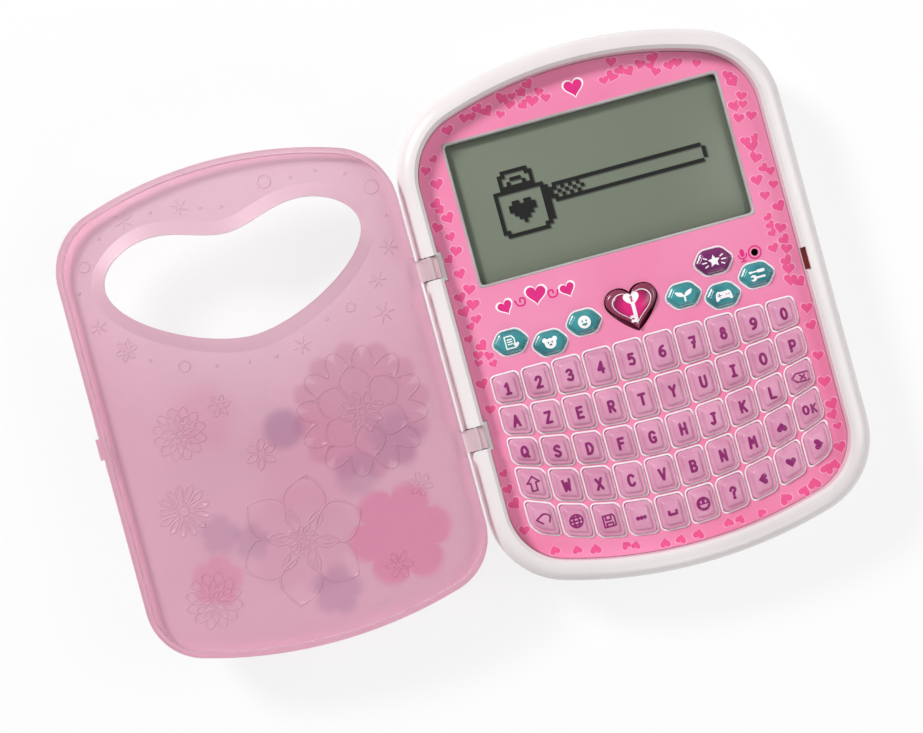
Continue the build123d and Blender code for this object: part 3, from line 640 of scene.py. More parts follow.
def ring_points(x, y, wide, high, count=20, start=0.0, sweep=360.0):
    """Points on an ellipse, or on part of one where the sweep is below a full turn."""
    parts = count if sweep >= 360 else count - 1
    turns = [math.radians(start + sweep * i / parts) for i in range(count)]
    return [(x + wide * math.cos(turn), y + high * math.sin(turn)) for turn in turns]


def stroke(points, width):
    """The outlines that together make a line of a given width with round ends."""
    half, spots = width / 2, 7
    made = []
    for a, b in zip(points, points[1:]):
        way = Vector(b) - Vector(a)
        if way.length > 1e-7:
            turn = math.degrees(math.atan2(way.y, way.x))
            ends = ((a, turn + 90), (b, turn - 90))
            caps = [ring_points(*end, half, half, spots, start, 180) for end, start in ends]
            made.append(caps[0] + caps[1])
    return made


# ---- the stroke alphabet for the legends ----
# A cell runs from -0.5 to 0.5 across and from -0.75 to 0.75 up. "l" joins points straight, "c" joins them
# smoothly and "o" is a ring with its middle and its two radii.
STROKES = {
    "0": "o 0,0,.4,.75",
    "1": "l -.28,.42 .05,.75 .05,-.75;l -.25,-.75 .35,-.75",
    "2": "c -.38,.42 -.15,.74 .25,.7 .38,.35 .15,-.1 -.38,-.75;l -.38,-.75 .42,-.75",
    "3": "c -.36,.58 0,.76 .34,.5 .25,.15 -.05,.05;c -.05,.05 .35,-.05 .4,-.45 .1,-.76 -.4,-.56",
    "4": "l .2,-.75 .2,.75 -.42,-.3 .45,-.3",
    "5": "l .35,.75 -.3,.75 -.34,.1;c -.34,.1 .1,.25 .4,-.2 .2,-.7 -.38,-.62",
    "6": "c .28,.7 -.15,.5 -.4,0 -.38,-.5 0,-.76 .36,-.5 .32,-.1 0,.08 -.36,-.2",
    "7": "l -.4,.75 .4,.75 0,-.75;l -.12,0 .32,0",
    "8": "o 0,.4,.28,.34;o 0,-.35,.38,.4",
    "9": "c -.28,-.7 .15,-.5 .4,0 .38,.5 0,.76 -.36,.5 -.32,.1 0,-.08 .36,.2",
    "A": "l -.45,-.75 0,.75 .45,-.75;l -.28,-.22 .28,-.22",
    "B": "l -.38,-.75 -.38,.75;c -.38,.75 .2,.72 .35,.4 .2,.08 -.38,.05;"
         "c -.38,.05 .25,.02 .42,-.35 .25,-.7 -.38,-.75",
    "C": "c .42,.5 .1,.76 -.3,.6 -.44,0 -.3,-.6 .1,-.76 .42,-.5",
    "D": "l -.4,-.75 -.4,.75;c -.4,.75 .1,.7 .42,.2 .42,-.2 .1,-.7 -.4,-.75",
    "E": "l .38,.75 -.38,.75 -.38,-.75 .38,-.75;l -.38,.05 .25,.05",
    "F": "l .38,.75 -.38,.75 -.38,-.75;l -.38,.05 .25,.05",
    "G": "c .42,.5 .1,.76 -.3,.6 -.44,0 -.3,-.6 .1,-.76 .4,-.6;l .4,-.6 .4,-.1 .1,-.1",
    "H": "l -.4,.75 -.4,-.75;l .4,.75 .4,-.75;l -.4,0 .4,0",
    "I": "l -.3,.75 .3,.75;l 0,.75 0,-.75;l -.3,-.75 .3,-.75",
    "J": "l -.15,.75 .38,.75;c .12,.75 .12,0 .1,-.5 -.12,-.75 -.4,-.55",
    "K": "l -.38,.75 -.38,-.75;l .4,.75 -.38,-.05;l -.15,.12 .42,-.75",
    "L": "l -.35,.75 -.35,-.75 .4,-.75",
    "M": "l -.48,-.75 -.4,.75 0,-.1 .4,.75 .48,-.75",
    "N": "l -.4,-.75 -.4,.75 .4,-.75 .4,.75",
    "O": "o 0,0,.45,.75",
    "P": "l -.35,-.75 -.35,.75;c -.35,.75 .25,.72 .42,.35 .25,-.02 -.35,-.05",
    "Q": "o 0,.05,.45,.7;l .08,-.35 .48,-.8",
    "R": "l -.35,-.75 -.35,.75;c -.35,.75 .25,.72 .42,.38 .25,.02 -.35,0;l 0,0 .42,-.75",
    "S": "c .38,.52 .1,.76 -.3,.6 -.36,.28 0,.02 .36,-.28 .3,-.62 -.1,-.76 -.4,-.5",
    "T": "l -.45,.75 .45,.75;l 0,.75 0,-.75",
    "U": "c -.4,.75 -.4,-.2 -.3,-.62 0,-.76 .3,-.62 .4,-.2 .4,.75",
    "V": "l -.45,.75 0,-.75 .45,.75",
    "W": "l -.52,.75 -.28,-.75 0,.35 .28,-.75 .52,.75",
    "X": "l -.42,.75 .42,-.75;l .42,.75 -.42,-.75",
    "Y": "l -.42,.75 0,0 .42,.75;l 0,0 0,-.75",
    "Z": "l -.4,.75 .4,.75 -.4,-.75 .42,-.75",
    "?": "c -.38,.4 -.2,.72 .2,.72 .38,.38 .05,.05 0,-.3;o 0,-.72,.05,.05",
    "erase": "l -.85,0 -.45,.42 .75,.42 .75,-.42 -.45,-.42 -.85,0;l -.1,.2 .4,-.2;l .4,.2 -.1,-.2",
    "shift": "l 0,.75 -.6,.15 -.25,.15 -.25,-.65 .25,-.65 .25,.15 .6,.15 0,.75",
    "exit": "c .55,-.45 .7,.1 .2,.42 -.3,.2;l -.62,0 0,.42;l -.62,0 -.1,-.45;l -.62,0 -.3,.2",
    "globe": "o 0,0,.62,.62;o 0,0,.24,.62;l -.62,0 .62,0;l -.5,.34 .5,.34;l -.5,-.34 .5,-.34",
    "disk": "l -.55,.55 -.55,-.55 .55,-.55 .55,.35 .35,.55 -.55,.55;l -.3,.5 -.3,.1 .2,.1 .2,.5;"
            "l -.3,-.5 -.3,-.2 .3,-.2 .3,-.5",
    "more": "o -.55,0,.1,.1;o 0,0,.1,.1;o .55,0,.1,.1",
    "space": "l -.6,.15 -.6,-.3 .6,-.3 .6,.15",
}


def glyph_paths(name):
    """A legend's strokes, as lists of points."""
    ring_spots = 22
    made = []
    for part in STROKES[name].split(";"):
        kind, *spots = part.split()
        numbers = [tuple(float(value) for value in spot.split(",")) for spot in spots]
        if kind == "o":
            ring = ring_points(*numbers[0], ring_spots)
            made.append(ring + ring[:1])
        else:
            made.append(round_path(numbers) if kind == "c" else numbers)
    return made


def glyph(name, x, y, unit, width, squeeze=1.0):
    """The outlines of one legend, its cell's unit given in metres."""
    made = []
    for path in glyph_paths(name):
        made += stroke([(x + px * unit * squeeze, y + py * unit) for px, py in path], width)
    return made


def heart_points(x=0.0, y=0.0, width=1.0, turn=0.0, count=28):
    """A heart outline of a given width about a point, anticlockwise."""
    cos, sin = math.cos(math.radians(turn)), math.sin(math.radians(turn))
    full, lift = 32, 2.5  # the curve's own width, and what centres it up and down
    made = []
    for i in range(count):
        t = 2 * math.pi * i / count
        px = 16 * math.sin(t) ** 3 / full * width
        rise = 13 * math.cos(t) - 5 * math.cos(2 * t) - 2 * math.cos(3 * t) - math.cos(4 * t)
        py = (rise + lift) / full * width
        made.append((x + px * cos - py * sin, y + px * sin + py * cos))
    return made[::-1]


# ---- outlines read from the frame ----
def level_loops(node, height):
    """The closed outlines where a node's flat face at a height meets its walls."""
    mesh = merged(node)
    links = {}
    for edge in mesh.edges:
        if any(abs(vert.co.z - height) > LEVEL_SLACK for vert in edge.verts) or len(edge.link_faces) != 2:
            continue
        if sum(face.normal.z > 0.99 for face in edge.link_faces) != 1:
            continue
        a, b = (vert.index for vert in edge.verts)
        links.setdefault(a, []).append(b)
        links.setdefault(b, []).append(a)
    mesh.verts.ensure_lookup_table()
    loops, left = [], set(links)
    while left:
        start = min(left)
        path, here, before = [start], start, None
        left.discard(start)
        while True:
            ways = [other for other in links[here] if other != before and other in left]
            if not ways:
                break
            before, here = here, ways[0]
            left.discard(here)
            path.append(here)
        points = [tuple(mesh.verts[index].co.xy) for index in path]
        if area_of(points) < 0:
            points.reverse()
        loops.append(points)
    mesh.free()
    return loops


def enclosed(edges, xs, ys):
    """Which of the points lie inside the closed outlines that the edges make up."""
    result = np.zeros(len(xs), bool)
    for (ax, ay), (bx, by) in edges:
        if ay != by:
            crosses = (ay > ys) != (by > ys)
            result ^= crosses & (xs < (bx - ax) * (ys - ay) / (by - ay) + ax)
    return result


def inside(loop, xs, ys):
    """Which of the points lie inside a closed outline."""
    return enclosed(zip(loop, loop[1:] + loop[:1]), xs, ys)


def near_lines(points, paths):
    """Each point's distance to the nearest line."""
    starts = np.array([a for path in paths for a in path[:-1]])
    ends = np.array([b for path in paths for b in path[1:]])
    ways = ends - starts
    squared = np.maximum((ways**2).sum(1), 1e-18)
    result = np.empty(len(points))
    for first in range(0, len(points), 500):
        part = points[first:first + 500, None, :]
        share = np.clip(((part - starts) * ways).sum(2) / squared, 0, 1)
        result[first:first + 500] = np.sqrt(((part - starts - share[..., None] * ways) ** 2).sum(2)).min(1)
    return result


PLATE_LOOPS = sorted(level_loops("face_plate", PLATE_TOP), key=area_of)
MIC_EDGE, WINDOW_EDGE, PLATE_EDGE = PLATE_LOOPS[0], PLATE_LOOPS[-2], PLATE_LOOPS[-1]
HOLES = PLATE_LOOPS[1:-2]


# ---- geometry node trees ----
def geometry_tree(name, **inputs):
    """An empty geometry tree with named inputs. Gives the tree and the nodes at its two ends."""
    tree = bpy.data.node_groups.new(name, "GeometryNodeTree")
    for label, kind in ({"Geometry": "Geometry"} | inputs).items():
        tree.interface.new_socket(name=label, in_out="INPUT", socket_type="NodeSocket" + kind)
    tree.interface.new_socket(name="Geometry", in_out="OUTPUT", socket_type="NodeSocketGeometry")
    return tree, *new_nodes(tree, "NodeGroupInput", "NodeGroupOutput")


def run_tree(name, mesh, tree, values, body):
    """Runs a geometry tree on a mesh once and keeps the result as a plain mesh on a body."""
    seed = placed(name + "_seed", mesh)
    modifier = seed.modifiers.new("tree", "NODES")
    modifier.node_group = tree
    for item in tree.interface.items_tree:
        if item.in_out == "INPUT" and item.name in values:
            modifier[item.identifier] = values[item.name]
    bpy.context.view_layer.update()
    result = bpy.data.meshes.new_from_object(seed.evaluated_get(bpy.context.evaluated_depsgraph_get()))
    bpy.data.objects.remove(seed)
    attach(linked(name, result), body)


def ribbon_tree():
    """Turns loose edge loops into flat printed lines of a given width and height."""
    tree, source, result = geometry_tree("printed_line", Width="Float", Height="Float", Ink="Material")
    to_curve, profile, sweep, whole, paint = new_nodes(
        tree, "GeometryNodeMeshToCurve", "GeometryNodeCurvePrimitiveQuadrilateral", "GeometryNodeCurveToMesh",
        "GeometryNodeRealizeInstances", "GeometryNodeSetMaterial",
    )
    set_inputs(sweep, {"Fill Caps": True})
    wire(
        tree, (source, "Geometry", to_curve, "Mesh"), (source, "Width", profile, "Width"),
        (source, "Height", profile, "Height"), (to_curve, "Curve", sweep, "Curve"),
        (profile, "Curve", sweep, "Profile Curve"), (sweep, "Mesh", whole, "Geometry"),
        (whole, "Geometry", paint, "Geometry"), (source, "Ink", paint, "Material"),
        (paint, "Geometry", result, "Geometry"),
    )
    return tree


def scatter_tree():
    """Sets a printed shape on every point, turned and sized by the point's own values."""
    tree, source, result = geometry_tree("scattered_print", Print="Object", Size="Float", Ink="Material")
    info, spread, turn, grow, angle, scale, flat, whole, paint = new_nodes(
        tree, "GeometryNodeObjectInfo", "GeometryNodeInstanceOnPoints", "GeometryNodeInputNamedAttribute",
        "GeometryNodeInputNamedAttribute", "ShaderNodeCombineXYZ", "ShaderNodeMath", "ShaderNodeCombineXYZ",
        "GeometryNodeRealizeInstances", "GeometryNodeSetMaterial",
    )
    turn.data_type = grow.data_type = "FLOAT"
    set_inputs(turn, {"Name": "turn"})
    set_inputs(grow, {"Name": "grow"})
    scale.operation = "MULTIPLY"
    set_inputs(flat, {"Z": 1.0})
    wire(
        tree, (source, "Print", info, "Object"), (source, "Geometry", spread, "Points"),
        (info, "Geometry", spread, "Instance"), (turn, "Attribute", angle, "Z"),
        (angle, "Vector", spread, "Rotation"), (grow, "Attribute", scale, 0), (source, "Size", scale, 1),
        (scale, 0, flat, "X"), (scale, 0, flat, "Y"), (flat, "Vector", spread, "Scale"),
        (spread, "Instances", whole, "Geometry"), (whole, "Geometry", paint, "Geometry"),
        (source, "Ink", paint, "Material"), (paint, "Geometry", result, "Geometry"),
    )
    return tree


# ---- operators ----
BUTTONS = ("note", "pet", "face", "sprout", "game", "tools", "star")
KEY_CORNER = 1.7 * MM  # how far a key's corners are cut back


class DIARY_OT_shells(bpy.types.Operator):
    """White front and rear shells with their finish"""

    bl_idname = "diary.shells"
    bl_label = "Shells"

    def execute(self, context):
        c = colours()
        white = finish_material(
            "shell_white", c.shell, c.shell_shade, rough=0.32, spread=0.1, drift=18.0, grain=1800.0,
            depth=0.03, coat=0.25,
        )
        for node in ("front_case", "rear_case", "battery_door"):
            dress(node, white)
        return {"FINISHED"}


class DIARY_OT_panel(bpy.types.Operator):
    """Pink face plate with its printed hearts, lines, ornament and microphone ring"""

    bl_idname = "diary.panel"
    bl_label = "Panel"

    def execute(self, context):
        c, s = colours(), sizes()
        pink = finish_material(
            "panel_pink", c.panel, c.panel_shade, rough=0.3, spread=0.06, drift=25.0, grain=2600.0,
            depth=0.015, coat=0.3,
        )
        dress("face_plate", pink)
        self.outlines(c, s)
        self.hearts(c, s)
        self.ornament(c, s)
        self.microphone(c, s)
        return {"FINISHED"}

    def outlines(self, c, s):
        """A white line round every key and button but the heart button, whose hole is the largest."""
        seed = bmesh.new()
        middles = [middle_of(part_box("button_" + name)) for name in BUTTONS]
        xs, ys = np.array(middles).T
        for loop in sorted(HOLES, key=area_of)[:-1]:
            pointed = loop if inside(loop, xs, ys).any() else sharp_corners(loop)
            path = soften(spread_loop(pointed, s.outline_width / 2 - s.outline_gap), KEY_CORNER)
            height = PLATE_TOP + (s.print_height - PRINT_SINK) / 2
            verts = [seed.verts.new((x, y, height)) for x, y in path]
            for a, b in zip(verts, verts[1:] + verts[:1]):
                seed.edges.new((a, b))
        run_tree("white_lines", seed, ribbon_tree(), {
            "Width": s.outline_width, "Height": s.print_height, "Ink": ink("white_print", c.print_white),
        }, "case")

    def heart_places(self, s):
        """Where the hearts go: x, y, turn, size and height level of each.

        They lie in the panel's border, clear of the window, the keys and the single heart over the screen.
        """
        tries = 9000
        border, key_gap = 7.6 * MM, 0.5 * MM  # how wide the border is, and the least gap to a key's hole
        badge_half, badge_low = 8.5 * MM, 60 * MM  # the place of the single heart over the screen
        upright_from = -60 * MM  # the hearts lower than this stand on their heads
        reach = s.heart_size * 0.6
        random.seed(11)
        left, low, right, high = box_of(PLATE_EDGE)
        spots = np.array([(random.uniform(left, right), random.uniform(low, high)) for _ in range(tries)])
        clear = inside(PLATE_EDGE, spots[:, 0], spots[:, 1])
        rims = near_lines(spots, [PLATE_EDGE + PLATE_EDGE[:1]])
        holes = near_lines(spots, [loop + loop[:1] for loop in HOLES])
        _, window_low, window_right, window_high = box_of(WINDOW_EDGE)
        kept = []
        for i in np.flatnonzero(clear & (rims > reach * 0.8) & (rims < border) & (holes > reach + key_gap)):
            x, y = spots[i]
            beside_window = window_low - 1 * MM < y < window_high + reach + 0.6 * MM
            if abs(x) < window_right + reach + 0.4 * MM and beside_window:
                continue
            if abs(x) < badge_half and y > badge_low:
                continue
            size = random.uniform(0.75, 1.1)
            gap = 0.66 if random.random() < 0.2 else 1.3  # one in five may overlap another
            away = [math.dist((x, y), other[:2]) for other in kept]
            if any(far < s.heart_size * gap * (size + other[3]) / 2 for far, other in zip(away, kept)):
                continue
            under = [other[4] for far, other in zip(away, kept) if far < 1.2 * s.heart_size]
            turn = random.uniform(-32, 32) + (180 if y < upright_from else 0)
            kept.append((x, y, math.radians(turn), size, 1 + max(under, default=-1)))
            if len(kept) >= s.heart_count:
                break
        return kept

    def hearts(self, c, s):
        """Hearts printed in the panel's border, each over a slightly wider one that shows as its edge."""
        places, tree = self.heart_places(s), scatter_tree()
        for name, wide, high, tone in (
            ("heart_borders", 1.16, 0.35, c.print_edge), ("printed_hearts", 1.0, 1.0, c.print_heart)
        ):
            shape, seed = bmesh.new(), bmesh.new()
            add_slab(shape, heart_points(width=wide), -PRINT_SINK, s.print_height * high)
            single = placed(name + "_shape", shape)
            turn, grow = seed.verts.layers.float.new("turn"), seed.verts.layers.float.new("grow")
            for x, y, angle, scale, level in places:
                vert = seed.verts.new((x, y, PLATE_TOP + level * PRINT_STEP))
                vert[turn], vert[grow] = angle, scale
            values = {"Print": single, "Size": s.heart_size, "Ink": ink(name, tone)}
            run_tree(name, seed, tree, values, "case")
            bpy.data.objects.remove(single)

    def ornament(self, c, s):
        """A plain row of hearts and curls under the screen, and one heart over it."""
        low, high = PLATE_TOP - PRINT_SINK, PLATE_TOP + s.print_height
        white, rose = bmesh.new(), bmesh.new()
        for x, y, wide, turn in (
            (-36.5, 8.6, 4.4, 14), (-26.8, 9.8, 6.0, -6), (-17.3, 8.9, 4.4, 10), (0.0, 66.2, 5.6, 0),
        ):
            add_slab(white, heart_points(x * MM, y * MM, (wide + 1.1) * MM, turn), low, high - PRINT_STEP)
            add_slab(rose, heart_points(x * MM, y * MM, wide * MM, turn), low, high)
        curl = round_path(((-1.6, 1.8), (-0.8, 0.2), (1.0, 0.2), (1.3, 1.9), (0.1, 2.2), (-0.1, 1.2)))
        for x, way in ((-31.8, 1), (-21.8, -1)):
            line = [((x + dx * way) * MM, (8.0 + dy) * MM) for dx, dy in curl]
            add_print(rose, stroke(line, 0.5 * MM), low, high)
        to_object("ornament_lines", white, "case", [ink("white_print", c.print_white)])
        to_object("ornament_hearts", rose, "case", [ink("magenta_print", c.magenta)])

    def microphone(self, c, s):
        """A ring round the microphone hole and a small microphone beside it."""
        low, high = PLATE_TOP - PRINT_SINK, PLATE_TOP + s.print_height
        x, y = middle_of(MIC_EDGE)
        inner, outer = (ring_points(x, y, radius * MM, radius * MM, 40) for radius in (1.62, 2.08))
        section = ((inner, low), (outer, low), (outer, high), (inner, high))
        mesh = bmesh.new()
        add_rings(mesh, [[(px, py, z) for px, py in loop] for loop, z in section], closed=True)
        left = x - 3.75 * MM
        add_print(mesh, [
            *stroke([(left, y + 1.25 * MM), (left, y + 0.2 * MM)], 1.3 * MM),
            *stroke([(left, y - 0.95 * MM), (left, y - 1.85 * MM)], 0.44 * MM),
            *stroke([(left - 0.75 * MM, y - 1.8 * MM), (left + 0.75 * MM, y - 1.8 * MM)], 0.44 * MM),
            *stroke(ring_points(left, y + 0.25 * MM, 1.2 * MM, 1.3 * MM, 14, 180, 180), 0.42 * MM),
        ], low, high)
        to_object("microphone_print", mesh, "case", [ink("magenta_print", c.magenta)])


class DIARY_OT_screen(bpy.types.Operator):
    """Grey green display with its pixel picture and a painted shadow of it, under a clear lens"""

    bl_idname = "diary.screen"
    bl_label = "Screen"

    def execute(self, context):
        c, s = colours(), sizes()
        clear = finish_material(
            "clear_lens", (0.02, 0.02, 0.02, 1), (0.03, 0.03, 0.03, 1), rough=0.05, spread=0.02, depth=0.0,
            alpha=0.06,
        )
        dress("screen_lens", clear)
        display = finish_material(
            "display_glass", c.lcd, darker(c.lcd, 0.9), rough=0.22, spread=0.03, drift=12.0, grain=5000.0,
            depth=0.01, specular=0.3,
        )
        face = GLASS_HIGH.z - 0.25 * MM  # the display's own top, lower to leave room for its pixels
        outline = rectangle(*GLASS_LOW.xy, *GLASS_HIGH.xy)
        mesh = bmesh.new()
        add_slab(mesh, outline, GLASS_LOW.z, face)
        rim = [edge for edge in mesh.edges if all(abs(vert.co.z - face) < LEVEL_SLACK for vert in edge.verts)]
        bmesh.ops.bevel(mesh, geom=rim, offset=0.2 * MM, segments=2, profile=0.5, affect="EDGES")
        glass = to_object("display_glass", mesh, "case", [display], smooth=30)
        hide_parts("lcd_glass")
        middle = middle_of(outline)
        # display_shadow is a painted shadow: a darker copy of the picture, shifted right and down, under the
        # pixels.
        for name, shift, lift, tone in (
            ("display_shadow", 0.4 * MM, 0.01 * MM, darker(c.lcd, 0.42)),
            ("display_pixels", 0.0, 0.03 * MM, tuple(c.lcd_dark)),
        ):
            squares = []
            for column, row in sorted(self.picture()):
                x, y = middle[0] + column * s.pixel + shift, middle[1] + row * s.pixel - shift
                half = s.pixel / 2
                squares.append(rectangle(x - half, y - half, x + half, y + half))
            pixels = bmesh.new()
            add_print(pixels, squares, face - 2 * PRINT_SINK, face + lift)
            to_object(name, pixels, "case", [ink(name + "_ink", tone, 0.5)])
        self.window_rim()
        return {"FINISHED"}

    def window_rim(self):
        """The grey rim that lines the window from the panel's top down to the lens."""
        grey = finish_material(
            "window_grey", linear(190, 184, 184), linear(172, 166, 166), rough=0.4, drift=90.0, depth=0.02
        )
        corners = sharp_corners(WINDOW_EDGE)
        # How far out from the window's edge, and how high over the panel, each corner of the rim's section
        # lies in millimetres.
        section = ((0.2, 0.03), (-0.25, 0.03), (-0.6, -0.35), (-0.66, -1.42), (-0.5, -1.42), (0.2, -0.05))
        rings = []
        for out, rise in section:
            path = soften(spread_loop(corners, out * MM), 1.2 * MM)
            rings.append([(x, y, PLATE_TOP + rise * MM) for x, y in path])
        mesh = bmesh.new()
        add_rings(mesh, rings, closed=True)
        to_object("window_rim", mesh, "case", [grey], smooth=30)

    def picture(self):
        """A padlock with a heart on it and a bar that fills up, in pixels about the screen's middle."""
        lit = set()

        def box(x0, x1, y0, y1):
            columns, rows = range(x0, x1 + 1), range(y0, y1 + 1)
            lit.update((x, y) for x in columns for y in rows if x in (x0, x1) or y in (y0, y1))

        box(-26, -14, -8, 3)
        box(-24, -16, 4, 8)
        box(-22, -18, 4, 6)
        lit.difference_update({(-26, -8), (-14, -8), (-24, 8), (-16, 8), (-22, 6), (-18, 6)})
        lit.update({(-25, -7), (-15, -7), (-23, 7), (-17, 7)} | {(-13, y) for y in range(-6, 3)})
        for row, half in enumerate((0, 1, 2, 3, 3, 2)):
            lit.update((x, row - 5) for x in range(-20 - half, -19 + half) if (x, row) != (-20, 5))
        box(-12, 28, -2, 2)
        lit.difference_update({(-12, 2), (-12, -2), (28, 2), (28, -2)})
        lit.update((x, y) for x in range(-11, -3) for y in range(-1, 2) if (x + y) % 2 == 0)
        return lit


class DIARY_OT_keys(bpy.types.Operator):
    """Mauve keys with rounded edges and their legends"""

    bl_idname = "diary.keys"
    bl_label = "Keys"

    legends = {
        "letter_keys_top": "A Z E R T Y U I O P", "letter_keys_middle": "Q S D F G H J K L",
        "letter_keys_bottom": "W X C V B N M", "symbol_keys": "globe disk more smile ?",
        "key_erase": "erase", "key_shift": "shift", "key_up": "heart:180", "key_ok": "OK", "key_exit": "exit",
        "key_space": "space", "key_left": "heart:-90", "key_down": "heart:0", "key_right": "heart:90",
    }
    # How far in from a key's outline, and how high over its flat top, each ring of its sides lies in
    # millimetres.
    steps = (
        (-0.1, -4.2), (-0.1, -1.5), (-0.02, -1.24), (0.2, -1.08), (0.45, -1.02), (0.74, -1.0), (0.86, -0.96),
        (1.02, -0.72), (1.26, -0.4), (1.52, -0.18), (1.85, -0.05),
    )

    def execute(self, context):
        c, s = colours(), sizes()
        mauve = finish_material(
            "key_mauve", c.key, c.key_shade, rough=0.45, spread=0.08, drift=120.0, grain=2200.0, depth=0.06,
            coat=0.12,
        )
        purple = ink("legend_purple", c.legend, 0.5)
        for node, text in ({f"key_{i}": str(i) for i in range(10)} | self.legends).items():
            caps, prints = bmesh.new(), bmesh.new()
            loops = sorted(level_loops(node, KEY_TOP), key=lambda loop: box_of(loop)[0])
            for legend, loop in zip(text.split(), loops):
                corners = sharp_corners(spread_loop(loop, 1.0 * MM))
                add_cap(caps, corners, self.steps, KEY_TOP, s.key_dome, KEY_CORNER)
                add_slab(caps, spread_loop(corners, 0.65 * MM), FLANGE_LOW, FLANGE_HIGH)
                self.legend(prints, legend, *middle_of(loop), s)
            drape(prints, caps, PRINT_LIFT)
            cap = to_object(node + "_cap", caps, node + "_body", [mauve], smooth=50)
            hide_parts(node)
            to_object(node + "_legend", prints, node + "_body", [purple])
        return {"FINISHED"}

    def legend(self, mesh, legend, x, y, s):
        """One key's legend at a place: strokes for a letter or a sign, a filled heart or a smiling face."""
        unit = (s.legend_height - s.legend_stroke) / 1.5
        cuts = []
        if legend.startswith("heart"):
            shape = [heart_points(x, y, 3.2 * MM, float(legend.split(":")[1]))]
        elif legend == "OK":
            shape = glyph("O", x - 1.2 * MM, y, unit * 0.76, s.legend_stroke * 0.82)
            shape += glyph("K", x + 1.25 * MM, y, unit * 0.76, s.legend_stroke * 0.82)
        elif legend == "smile":
            shape = [ring_points(x, y, 2.1 * MM, 2.1 * MM, 30)]
            for side in (-1, 1):
                cuts.append(ring_points(x + side * 0.7 * MM, y + 0.6 * MM, 0.28 * MM, 0.45 * MM, 12))
            cuts.append(ring_points(x, y - 0.2 * MM, 1.2 * MM, 1.0 * MM, 14, 180, 180))
        elif legend in ("erase", "globe", "disk", "exit", "shift"):
            shape = glyph(legend, x, y, 3.1 * MM, s.legend_stroke * 0.62)
        else:
            shape = glyph(legend, x, y, unit, s.legend_stroke, 0.92)
        add_print(mesh, shape, KEY_TOP, KEY_TOP + PRINT_DEPTH, holes=cuts, fine=FINE_MESH)


